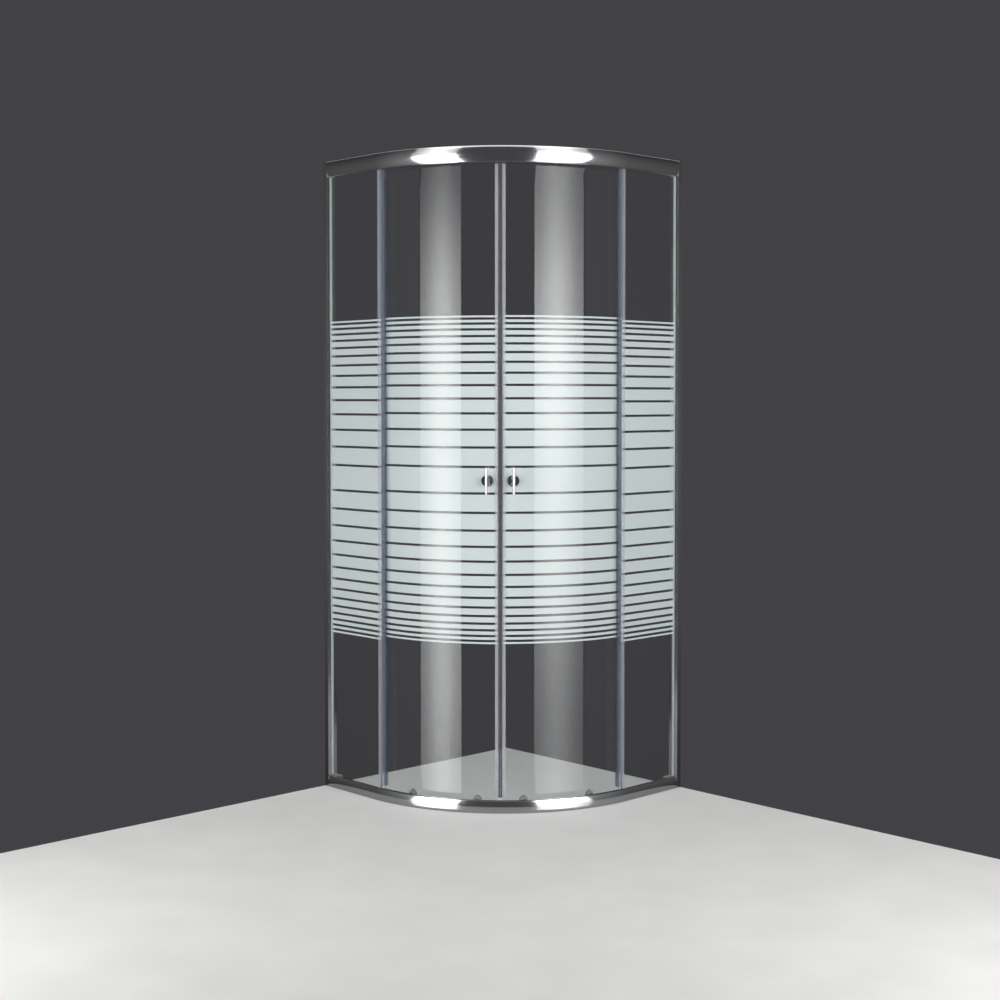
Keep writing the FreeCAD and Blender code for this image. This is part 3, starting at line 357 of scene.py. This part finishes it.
def dress(name, material, soften):
    piece = frame["nodes"][name]
    piece.data.materials.clear()
    piece.data.materials.append(material)
    for face in piece.data.polygons:
        face.use_smooth = True
    weld = piece.modifiers.new("weld", "WELD")
    weld.merge_threshold = WELD_REACH
    flat = piece.modifiers.new("flat", "DECIMATE")
    flat.decimate_type = "DISSOLVE"
    flat.angle_limit = FLAT_WITHIN
    bevel = piece.modifiers.new("bevel", "BEVEL")
    bevel.width = soften
    bevel.segments = 2
    bevel.limit_method = "ANGLE"
    bevel.angle_limit = SOFTEN_FROM
    even = piece.modifiers.new("even", "WEIGHTED_NORMAL")
    even.keep_sharp = True


# Finish of each pair of nodes, and how far its edges are softened, in millimetres
DRESSED = {
    "wall_channel": (upright_metal, 0.6),
    "stile": (upright_metal, 0.6),
    "glazing_gasket": (gasket_vinyl, 0.2),
    "magnet_carrier": (seam_vinyl, 0.25),
    "trailing_seal": (door_vinyl, 0.25),
    "magnet_strip": (magnet, 0.3),
    "end_blocks": (grey_plastic, 0.5),
    "outer_handle": (chrome, 0.3),
    "inner_handle": (chrome, 0.3),
    "handle_washers": (rubber, 0.2),
    "handle_stud": (steel, 0.2),
    "axle_bolts": (steel, 0.2),
    "roller_spacers": (grey_plastic, 0.2),
    "cap_nuts": (chrome, 0.3),
    "roller_housings": (grey_plastic, 0.3),
    "ring_nuts": (grey_plastic, 0.25),
    "inner_top_wheel": (nylon, 0.2),
    "outer_top_wheel": (nylon, 0.2),
    "inner_bottom_wheel": (nylon, 0.2),
    "outer_bottom_wheel": (nylon, 0.2),
    "inner_release_slider": (grey_plastic, 0.2),
    "outer_release_slider": (grey_plastic, 0.2),
    "fixed_pane": (glass, 0.4),
}
for base_name, (material, soften) in DRESSED.items():
    for side in SIDES:
        dress(f"{side}_{base_name}", material, soften * MM)
for side in SIDES:
    dress(f"{side}_overlap_seal", make_overlap_vinyl(side), 0.25 * MM)
dress("frame_screws", steel, 0.2 * MM)
dress("screw_caps", chrome, 0.2 * MM)
dress("setting_blocks", grey_plastic, 0.2 * MM)
dress("door_stops", rubber, 0.5 * MM)


# New pieces


def add_piece(name, mesh, body, materials):
    for material in materials:
        mesh.materials.append(material)
    piece = bpy.data.objects.new(name, mesh)
    bpy.context.scene.collection.objects.link(piece)
    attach(piece, body)
    return piece


SHARP_FROM = math.radians(50)


def shade(piece):
    """Smooth shading that leaves sharp edges sharp."""
    for face in piece.data.polygons:
        face.use_smooth = True
    piece.data.set_sharp_from_angle(angle=SHARP_FROM)
    even = piece.modifiers.new("even", "WEIGHTED_NORMAL")
    even.keep_sharp = True


def turn_outwards(piece):
    made = bmesh.new()
    made.from_mesh(piece.data)
    bmesh.ops.recalc_face_normals(made, faces=made.faces)
    made.to_mesh(piece.data)
    made.free()


def mesh_from(name, vertices, faces):
    mesh = bpy.data.meshes.new(name)
    mesh.from_pydata(vertices, [], faces)
    mesh.validate()
    mesh.update()
    return mesh


# Rails: a section of (depth inwards, level) points, swept from wall to wall


FRONT_RADIUS = 58 * MM
RAIL_WALL = 1.6 * MM
WEB_FRONT = 15.6 * MM
TRACK_WIDTH = 19.2 * MM
WEB_BACK = WEB_FRONT + RAIL_WALL
LIP_FRONT = WEB_BACK + TRACK_WIDTH
RAIL_DEPTH = LIP_FRONT + RAIL_WALL
ARC_STEPS = 72
FRONT_STEPS = 20
EDGE_RADIUS = 0.8 * MM
EDGE_STEPS = 4
EDGE_SHARE = 0.4
SMOOTH_FROM = math.radians(150)
END_BEVEL = 0.5 * MM
END_BEVEL_FROM = math.radians(60)


def front_depth(crown, level, offset):
    """Depth of the convex front, or of the face a wall's offset behind it, at a level."""
    bend = FRONT_RADIUS - offset
    return FRONT_RADIUS - math.sqrt(bend**2 - (level - crown) ** 2)


def front_curve(crown, low, high, offset):
    """Points up the convex front from a low level to a high one."""
    levels = [low + (high - low) * step / FRONT_STEPS for step in range(FRONT_STEPS + 1)]
    return [(front_depth(crown, level, offset), level) for level in levels]


def top_section(high):
    crown, ledge, ledge_lip, roof_lip = 27.5 * MM, 6 * MM, 5 * MM, 6 * MM
    roof = high - RAIL_WALL
    inner = front_curve(crown, 0, roof, RAIL_WALL)
    outer = front_curve(crown, 0, high, 0)
    track = [
        (WEB_FRONT, roof),
        (WEB_FRONT, 0),
        (WEB_BACK, 0),
        (WEB_BACK, ledge),
        (RAIL_DEPTH, ledge),
        (RAIL_DEPTH, ledge + ledge_lip),
        (LIP_FRONT, ledge + ledge_lip),
        (LIP_FRONT, ledge + RAIL_WALL),
        (WEB_BACK, ledge + RAIL_WALL),
        (WEB_BACK, roof),
        (LIP_FRONT, roof),
        (LIP_FRONT, high - roof_lip),
        (RAIL_DEPTH, high - roof_lip),
        (RAIL_DEPTH, high),
    ]
    return inner + track + outer[::-1]


def bottom_section(high):
    crown, guide, guide_lip, floor_lip = 12 * MM, 15.4 * MM, 6.6 * MM, 5 * MM
    inner = front_curve(crown, RAIL_WALL, high, RAIL_WALL)
    outer = front_curve(crown, 0, high, 0)
    track = [
        (RAIL_DEPTH, 0),
        (RAIL_DEPTH, floor_lip),
        (LIP_FRONT, floor_lip),
        (LIP_FRONT, RAIL_WALL),
        (WEB_BACK, RAIL_WALL),
        (WEB_BACK, guide),
        (RAIL_DEPTH, guide),
        (RAIL_DEPTH, guide + guide_lip),
        (LIP_FRONT, guide + guide_lip),
        (LIP_FRONT, guide + RAIL_WALL),
        (WEB_BACK, guide + RAIL_WALL),
        (WEB_BACK, high),
        (WEB_FRONT, high),
        (WEB_FRONT, RAIL_WALL),
    ]
    return track + inner + outer[::-1]


def softened(points, radius):
    """The outline with its sharp corners rounded, up to a share of their shorter side."""
    made = []
    count = len(points)
    for index, point in enumerate(points):
        here = Vector(point)
        before = Vector(points[index - 1]) - here
        after = Vector(points[(index + 1) % count]) - here
        if before.angle(after) > SMOOTH_FROM:
            made.append(here)
            continue
        reach = min(radius, before.length * EDGE_SHARE, after.length * EDGE_SHARE)
        start, end = here + before.normalized() * reach, here + after.normalized() * reach
        for step in range(EDGE_STEPS + 1):
            share = step / EDGE_STEPS
            made.append((1 - share) ** 2 * start + 2 * share * (1 - share) * here + share**2 * end)
    return made


def rail_stations():
    """Plan points on the rails' outermost line, each with its direction inwards."""
    left, right = LOW.x + RAIL_START, HIGH.y - RAIL_START
    stations = [(Vector((left, LOW.y)), Vector((0, 1)))]
    for step in range(ARC_STEPS + 1):
        angle = math.radians(90 * step / ARC_STEPS - 90)
        point = on_arc(CORNER_RADIUS, angle)
        stations.append((point, (CENTRE - point).normalized()))
    stations.append((Vector((HIGH.x, right)), Vector((-1, 0))))
    return stations


def lay_along(mesh, outline, lengths):
    """UV in metres: round the section's outline, and along the rail."""
    count = len(outline)
    around = [0]
    for index in range(count):
        around.append(around[-1] + (outline[(index + 1) % count] - outline[index]).length)
    uv = mesh.uv_layers.new(name="along")
    for face in mesh.polygons:
        indices = [mesh.loops[loop].vertex_index for loop in face.loop_indices]
        wraps = {index % count for index in indices} == {0, count - 1}
        for loop, index in zip(face.loop_indices, indices):
            place = count if wraps and index % count == 0 else index % count
            uv.data[loop].uv = (around[place], lengths[index // count])


def make_rail(name, section):
    low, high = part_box(name)
    outline = softened(section(high.z - low.z), EDGE_RADIUS)
    count = len(outline)
    stations = rail_stations()
    vertices, lengths = [], []
    length = 0
    for index, (point, inward) in enumerate(stations):
        if index:
            length += (point - stations[index - 1][0]).length
        lengths.append(length)
        vertices += [(*(point + inward * depth), low.z + level) for depth, level in outline]
    faces = []
    for base in range(0, len(vertices) - count, count):
        for index in range(count):
            here, following = base + index, base + (index + 1) % count
            faces.append((here, here + count, following + count, following))
    faces.append(tuple(range(count)))
    faces.append(tuple(reversed(range(len(vertices) - count, len(vertices)))))
    mesh = mesh_from(name, vertices, faces)
    lay_along(mesh, outline, lengths)
    piece = add_piece(f"{name}_bent", mesh, "frame", [rail_metal])
    turn_outwards(piece)
    ends = piece.modifiers.new("ends", "BEVEL")
    ends.width = END_BEVEL
    ends.segments = 2
    ends.limit_method = "ANGLE"
    ends.angle_limit = END_BEVEL_FROM
    shade(piece)
    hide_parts(name)


make_rail("top_rail", top_section)
make_rail("bottom_rail", bottom_section)


# Door glass: a curved sheet with its holes, drawn flat as (turn, level) and then bent


DOOR_OUTER = 498 * MM
GLASS_THICKNESS = 5 * MM
DOOR_INNER = DOOR_OUTER - GLASS_THICKNESS
ROLLERS = ("inner", "outer")
HOLE_RADIUS = {"handle": 6 * MM, "top": 7 * MM, "bottom": 8 * MM}
HOLE_STEPS = 32
HOLE_CLEARANCE = 1.4
HOLE_INSIDE = 0.999
COLUMN_STEP = 1.25
ROW_STEP = 60 * MM
MERGE_WITHIN = 1e-7
TO_LENGTH = math.radians(1) * DOOR_OUTER


def turn_of(point):
    """Angle in degrees of a point round the corner arc, from the middle of the corner."""
    arm = point.to_2d() - CENTRE
    return abs(math.degrees(math.atan2(arm.y, arm.x)) + 45)


def glass_span(side):
    """Turns of the leading and trailing edges of a door's glass."""
    turns = [turn_of(vertex.co) for vertex in frame["nodes"][f"{side}_door_glass"].data.vertices]
    return min(turns), max(turns)


def middle_of(name):
    low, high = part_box(name)
    return (low + high) / 2


def door_holes(side):
    """Centre turn, level and radius of each hole in a door's glass."""
    handle = middle_of(f"{side}_handle_stud")
    holes = [(turn_of(handle), handle.z, HOLE_RADIUS["handle"])]
    for place in ROLLERS:
        axle = Vector(JOINTS[f"{side}_{place}_top_wheel_spin"]["pos_m"])
        holes.append((turn_of(axle), axle.z, HOLE_RADIUS["top"]))
        holes.append((turn_of(axle), middle_of(f"{side}_ring_nuts").z, HOLE_RADIUS["bottom"]))
    return holes


def in_hole(point, holes, reach):
    """Whether a flat point lies in a hole that is larger by a factor."""
    return any(
        math.hypot(point.x - turn * TO_LENGTH, point.y - level) < radius * reach
        for turn, level, radius in holes
    )


def flat_glass(first, last, low, high, holes):
    """Points (length, level) and triangles of a door's glass before it is bent."""
    columns = round((last - first) / COLUMN_STEP)
    rows = round((high - low) / ROW_STEP)
    points, borders = [], []
    for column in range(columns + 1):
        for row in range(rows + 1):
            length = (first + (last - first) * column / columns) * TO_LENGTH
            point = Vector((length, low + (high - low) * row / rows))
            on_border = column in (0, columns) or row in (0, rows)
            if on_border or not in_hole(point, holes, HOLE_CLEARANCE):
                points.append(point)
    for turn, level, radius in holes:
        start = len(points)
        for step in range(HOLE_STEPS):
            angle = 2 * math.pi * step / HOLE_STEPS
            length = turn * TO_LENGTH + radius * math.cos(angle)
            points.append(Vector((length, level + radius * math.sin(angle))))
            borders.append((start + step, start + (step + 1) % HOLE_STEPS))
    flat, _, triangles, *_ = delaunay_2d_cdt(points, borders, [], 0, MERGE_WITHIN)

    def kept(triangle):
        middle = sum((flat[index] for index in triangle), Vector((0, 0))) / 3
        return not in_hole(middle, holes, HOLE_INSIDE)

    return flat, [tuple(triangle) for triangle in triangles if kept(triangle)]


def make_door_glass(side):
    name = f"{side}_door_glass"
    low, high = (corner.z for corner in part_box(name))
    flat, triangles = flat_glass(*glass_span(side), low, high, door_holes(side))
    vertices = []
    for radius in (DOOR_OUTER, DOOR_INNER):
        for point in flat:
            vertices.append((*on_arc(radius, plan_angle(side, point.x / TO_LENGTH)), point.y))
    count = len(flat)
    faces = triangles + [tuple(count + index for index in reversed(triangle)) for triangle in triangles]
    edges = [edge for triangle in triangles for edge in zip(triangle, triangle[1:] + triangle[:1])]
    known = set(edges)
    rims = [(start, end) for start, end in edges if (end, start) not in known]
    faces += [(end, start, count + start, count + end) for start, end in rims]
    mesh = mesh_from(name, vertices, faces)
    piece = add_piece(f"{name}_bent", mesh, f"{side}_door", [glass, glass_edge])
    for face in mesh.polygons[len(triangles) * 2:]:
        face.material_index = 1
    turn_outwards(piece)
    shade(piece)
    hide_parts(name)


# Printed stripes fused into the inner face of the glass: thin outwards, wide at the middle


PRINT_MIDDLE = HEIGHT / 2
PRINT_THICKNESS = 0.04 * MM
PRINT_SINK = 0.06 * MM
PRINT_MARGIN = 2 * MM
MIDDLE_STRIPE = 71.2 * MM
CLEAR_GAP = 7.1 * MM
STRIPES_EACH_WAY = 14
EDGE_STRIPE = 5.5 * MM
STRIPE_GROWTH = 2.0 * MM
STRIPE_SWELL = 0.11 * MM
# Each print sits a little above or below the middle of the height
PRINT_SHIFT = {
    "left_pane_stripes": -3.5 * MM,
    "left_door_stripes": 1.5 * MM,
    "right_door_stripes": 2.3 * MM,
    "right_pane_stripes": -7 * MM,
}


def stripe_levels(middle):
    """Low and high level of each stripe; they narrow away from the middle."""
    half = MIDDLE_STRIPE / 2
    levels = [(middle - half, middle + half)]
    edge = half
    for step in reversed(range(STRIPES_EACH_WAY)):
        height = EDGE_STRIPE + STRIPE_GROWTH * step + STRIPE_SWELL * step**2
        near, far = edge + CLEAR_GAP, edge + CLEAR_GAP + height
        levels.append((middle + near, middle + far))
        levels.append((middle - far, middle - near))
        edge = far
    return levels


def make_stripes(name, body, face_line, back_line):
    """Thin bands between two plan lines, one on each side of the print's thickness."""
    vertices, faces = [], []
    count = len(face_line)
    for low, high in stripe_levels(PRINT_MIDDLE + PRINT_SHIFT[name]):
        start = len(vertices)
        for line, level in ((face_line, low), (face_line, high), (back_line, high), (back_line, low)):
            vertices += [(*point, level) for point in line]
        for corner in range(4):
            here, there = start + corner * count, start + (corner + 1) % 4 * count
            for index in range(count - 1):
                faces.append((here + index, here + index + 1, there + index + 1, there + index))
        faces.append(tuple(start + corner * count for corner in range(4)))
        faces.append(tuple(start + corner * count + count - 1 for corner in reversed(range(4))))
    piece = add_piece(name, mesh_from(name, vertices, faces), body, [white_print])
    turn_outwards(piece)
    shade(piece)


def door_print_line(side, radius):
    first, last = glass_span(side)
    margin = math.degrees(PRINT_MARGIN / DOOR_INNER)
    first, last = first + margin, last - margin
    steps = round((last - first) / COLUMN_STEP)
    turns = [first + (last - first) * step / steps for step in range(steps + 1)]
    return [on_arc(radius, plan_angle(side, turn)) for turn in turns]


def pane_print_line(side, depth):
    """A line along a fixed pane, at a depth under its inner face."""
    low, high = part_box(f"{side}_fixed_pane")
    if side == "left":
        return [Vector((x, high.y - depth)) for x in (low.x + PRINT_MARGIN, high.x - PRINT_MARGIN)]
    return [Vector((low.x + depth, y)) for y in (low.y + PRINT_MARGIN, high.y - PRINT_MARGIN)]


for side in SIDES:
    make_door_glass(side)
    depths = PRINT_SINK + PRINT_THICKNESS, PRINT_SINK
    lines = (door_print_line(side, DOOR_INNER + depth) for depth in depths)
    make_stripes(f"{side}_door_stripes", f"{side}_door", *lines)
    lines = (pane_print_line(side, depth) for depth in depths)
    make_stripes(f"{side}_pane_stripes", "frame", *lines)


# Return springs, which on the real door flatten as their slider lifts: steel copies of the CAD springs,
# carried by their doors, that keep one shape


def make_spring(side, place):
    name = f"{side}_{place}_return_spring"
    source = frame["nodes"][name]
    piece = add_piece(f"{name}_wire", source.data.copy(), f"{side}_door", [])
    piece.data.materials.clear()
    piece.data.materials.append(steel)
    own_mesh(piece)
    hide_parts(name)


for side in SIDES:
    for place in ROLLERS:
        make_spring(side, place)


# Floor, light and camera


WALL_REACH = 2
FRONT_NEAR, FRONT_FAR = 0.87, 2.54
FLOOR_SINK = 0.2 * MM
METAL_DIMMING = 0.65


def keep_out_of_mirrors(material):
    """Leaves a surface out of the mirror images in glass, and dims it in those in metal."""
    path = node(material, "ShaderNodeLightPath")
    share = map_range(material, path.outputs["Is Singular Ray"], (0, 1), (METAL_DIMMING, 1))
    clear_where(material, math_of(material, "MINIMUM", path.outputs["Glossy Depth"], share))


def make_floor():
    """Plain pale floor that ends where the walls stand, with its front corner cut off."""
    left, back = LOW.x, HIGH.y
    corners = [
        (left, back - WALL_REACH),
        (left + FRONT_NEAR, back - FRONT_FAR),
        (left + FRONT_FAR, back - FRONT_NEAR),
        (left + WALL_REACH, back),
        (left, back),
    ]
    mesh = mesh_from("floor", [(*corner, -FLOOR_SINK) for corner in corners], [(0, 1, 2, 3, 4)])
    pale = new_material("pale_floor")
    grain = noise(pale, 6)
    vary_colour(pale, grain, (0.68, 0.675, 0.665), (0.72, 0.715, 0.705))
    vary_roughness(pale, grain, 0.5, 0.6)
    keep_out_of_mirrors(pale)
    mesh.materials.append(pale)
    floor = bpy.data.objects.new("floor", mesh)
    bpy.context.scene.collection.objects.link(floor)


def aim(thing, target):
    direction = Vector(target) - thing.location
    thing.rotation_euler = direction.to_track_quat("-Z", "Y").to_euler()


def add_lamp(name, place, target, width, depth, radiance):
    """A rectangular lamp that shows neither to the camera nor through glass."""
    lamp = bpy.data.lights.new(name, "AREA")
    lamp.shape = "RECTANGLE"
    lamp.size, lamp.size_y = width, depth
    lamp.energy = radiance * math.pi * width * depth
    box = bpy.data.objects.new(name, lamp)
    box.location = place
    box.visible_camera = box.visible_transmission = False
    bpy.context.scene.collection.objects.link(box)
    aim(box, target)


def make_glow(name, radiance, across, upwards):
    """Light of a softbox, graded by lists of (share of its width or height, brightness).

    It shines from the front only, and is clear where it would be seen through glass.
    """
    made = bpy.data.materials.new(name)
    made.use_nodes = True
    made.node_tree.nodes.remove(principled(made))
    made.cycles.emission_sampling = "FRONT"
    place = node(made, "ShaderNodeTexCoord")
    split = node(made, "ShaderNodeSeparateXYZ")
    feed(made, place.outputs["Generated"], split.inputs[0])
    grades = []
    for stops, share in zip((across, upwards), split.outputs):
        greys = [(stop, (brightness, brightness, brightness)) for stop, brightness in stops]
        grades.append(colour_ramp(made, share, greys, "EASE"))
    glow = node(made, "ShaderNodeEmission")
    strength = math_of(made, "MULTIPLY", math_of(made, "MULTIPLY", *grades), radiance)
    feed(made, strength, glow.inputs["Strength"])
    feed(made, glow.outputs["Emission"], surface_of(made))
    path = node(made, "ShaderNodeLightPath")
    rays = path.outputs["Is Transmission Ray"], path.outputs["Glossy Depth"]
    through = math_of(made, "SUBTRACT", *rays, clamp=True)
    back = node(made, "ShaderNodeNewGeometry").outputs["Backfacing"]
    clear_where(made, math_of(made, "MAXIMUM", through, back))
    return made


def add_softbox(name, place, target, width, height, glow):
    """A glowing sheet, facing its target, that the camera itself doesn't see."""
    x, y = width / 2, height / 2
    mesh = mesh_from(name, [(-x, -y, 0), (-x, y, 0), (x, y, 0), (x, -y, 0)], [(0, 1, 2, 3)])
    mesh.materials.append(glow)
    sheet = bpy.data.objects.new(name, mesh)
    sheet.location = place
    sheet.visible_camera = sheet.visible_shadow = False
    bpy.context.scene.collection.objects.link(sheet)
    aim(sheet, target)


SOFTBOX_DISTANCE = 2.3
SOFTBOX_HEIGHT = 4.7
SOFTBOX_LEVEL = 1.5
SOFTBOX_RADIANCE = 6.9
CARD_RADIANCE = 0.19
LEFT_ACROSS = [(0, 0.36), (0.55, 0.97), (1, 0.52)]
LEFT_UPWARDS = [(0.05, 0.5), (0.2, 0.76), (0.36, 0.84), (0.5, 0.92), (0.67, 0.2)]
RIGHT_ACROSS = [(0, 0.58), (0.43, 1), (1, 0.36)]
RIGHT_UPWARDS = [(0.1, 0.31), (0.34, 0.6), (0.5, 1), (0.66, 0.44), (0.76, 0.2)]
LEFT_CARD_ACROSS = [(0, 0.35), (1, 1)]
RIGHT_CARD_ACROSS = [(0, 1), (1, 0.35)]
CARD_UPWARDS = [(0, 0.3), (0.4, 1), (1, 0.3)]
# Name, side, span in degrees from the middle of the corner, radiance, and grading across and upwards
SOFTBOXES = (
    ("left_softbox", "left", (32.3, 65.8), SOFTBOX_RADIANCE, LEFT_ACROSS, LEFT_UPWARDS),
    ("right_softbox", "right", (25.4, 65), SOFTBOX_RADIANCE, RIGHT_ACROSS, RIGHT_UPWARDS),
    ("left_card", "left", (67, 109), CARD_RADIANCE, LEFT_CARD_ACROSS, CARD_UPWARDS),
    ("right_card", "right", (67, 109), CARD_RADIANCE, RIGHT_CARD_ACROSS, CARD_UPWARDS),
)
OVERHEAD_RADIANCE = 0.9
OVERHEAD_WIDTH, OVERHEAD_DEPTH = 5.5, 1.2
OVERHEAD_REACH, OVERHEAD_LEVEL, OVERHEAD_AIM = 1.2, 3.6, 1
BACK_RADIANCE = 1
BACK_SIZE = 4.4
BACK_REACH, BACK_LEVEL, BACK_AIM = 1.2, 3.4, 0.7


def light_scene():
    """Tall softboxes that the curved doors mirror, dim cards beside them, lamps overhead and behind."""
    facing = on_arc(DOOR_OUTER, plan_angle("left", 0))
    for name, side, (near, far), radiance, across, upwards in SOFTBOXES:
        turn, spread = (near + far) / 2, math.radians(far - near)
        angle = plan_angle(side, turn)
        place = facing + SOFTBOX_DISTANCE * Vector((math.cos(angle), math.sin(angle)))
        width = 2 * SOFTBOX_DISTANCE * math.tan(spread / 2)
        target = (*facing, SOFTBOX_LEVEL)
        glow = make_glow(name, radiance, across, upwards)
        add_softbox(name, (*place, SOFTBOX_LEVEL), target, width, SOFTBOX_HEIGHT, glow)
    over = (*(facing + OVERHEAD_REACH * APEX), OVERHEAD_LEVEL)
    aim_point = (*CENTRE, OVERHEAD_AIM)
    add_lamp("overhead", over, aim_point, OVERHEAD_WIDTH, OVERHEAD_DEPTH, OVERHEAD_RADIANCE)
    behind = (*(CENTRE - BACK_REACH * APEX), BACK_LEVEL)
    add_lamp("behind", behind, (*CENTRE, BACK_AIM), BACK_SIZE, BACK_SIZE, BACK_RADIANCE)


BACKDROP = (0.056, 0.0535, 0.0595, 1)
FILL = 0.12


def make_world():
    """A dark grey studio behind everything, and an even fill light."""
    world = bpy.data.worlds.new("studio")
    bpy.context.scene.world = world
    world.use_nodes = True
    world.node_tree.nodes.clear()
    path = node(world, "ShaderNodeLightPath")
    seen = math_of(world, "MAXIMUM", path.outputs["Is Camera Ray"], path.outputs["Is Glossy Ray"])
    shows = math_of(world, "MAXIMUM", seen, path.outputs["Is Transmission Ray"])
    backdrop = node(world, "ShaderNodeBackground", Color=BACKDROP)
    fill = node(world, "ShaderNodeBackground", Strength=FILL)
    output = node(world, "ShaderNodeOutputWorld")
    lights = fill.outputs["Background"], backdrop.outputs["Background"]
    feed(world, mix_shaders(world, shows, *lights), output.inputs["Surface"])


CAMERA_DISTANCE = 5.5514
CAMERA_YAW = 1.1261
CAMERA_LEVEL, AIM_LEVEL = 1.2174, 1.0384
SENSOR_WIDTH, FOCAL_LENGTH = 36, 57.65
LENS_SHIFT = -0.006, -0.05


def make_camera():
    """Camera aimed at the corner between the walls, a little to the right of the diagonal."""
    camera = bpy.data.objects.new("camera", bpy.data.cameras.new("camera"))
    camera.data.sensor_width = SENSOR_WIDTH
    camera.data.lens = FOCAL_LENGTH
    camera.data.shift_x, camera.data.shift_y = LENS_SHIFT
    corner = Vector((LOW.x, HIGH.y))
    away = plan_angle("right", CAMERA_YAW)
    place = corner + CAMERA_DISTANCE * Vector((math.cos(away), math.sin(away)))
    camera.location = (*place, CAMERA_LEVEL)
    aim(camera, (*corner, AIM_LEVEL))
    bpy.context.scene.collection.objects.link(camera)
    bpy.context.scene.camera = camera


make_floor()
light_scene()
make_world()
make_camera()
bpy.context.scene.view_settings.view_transform = "Standard"
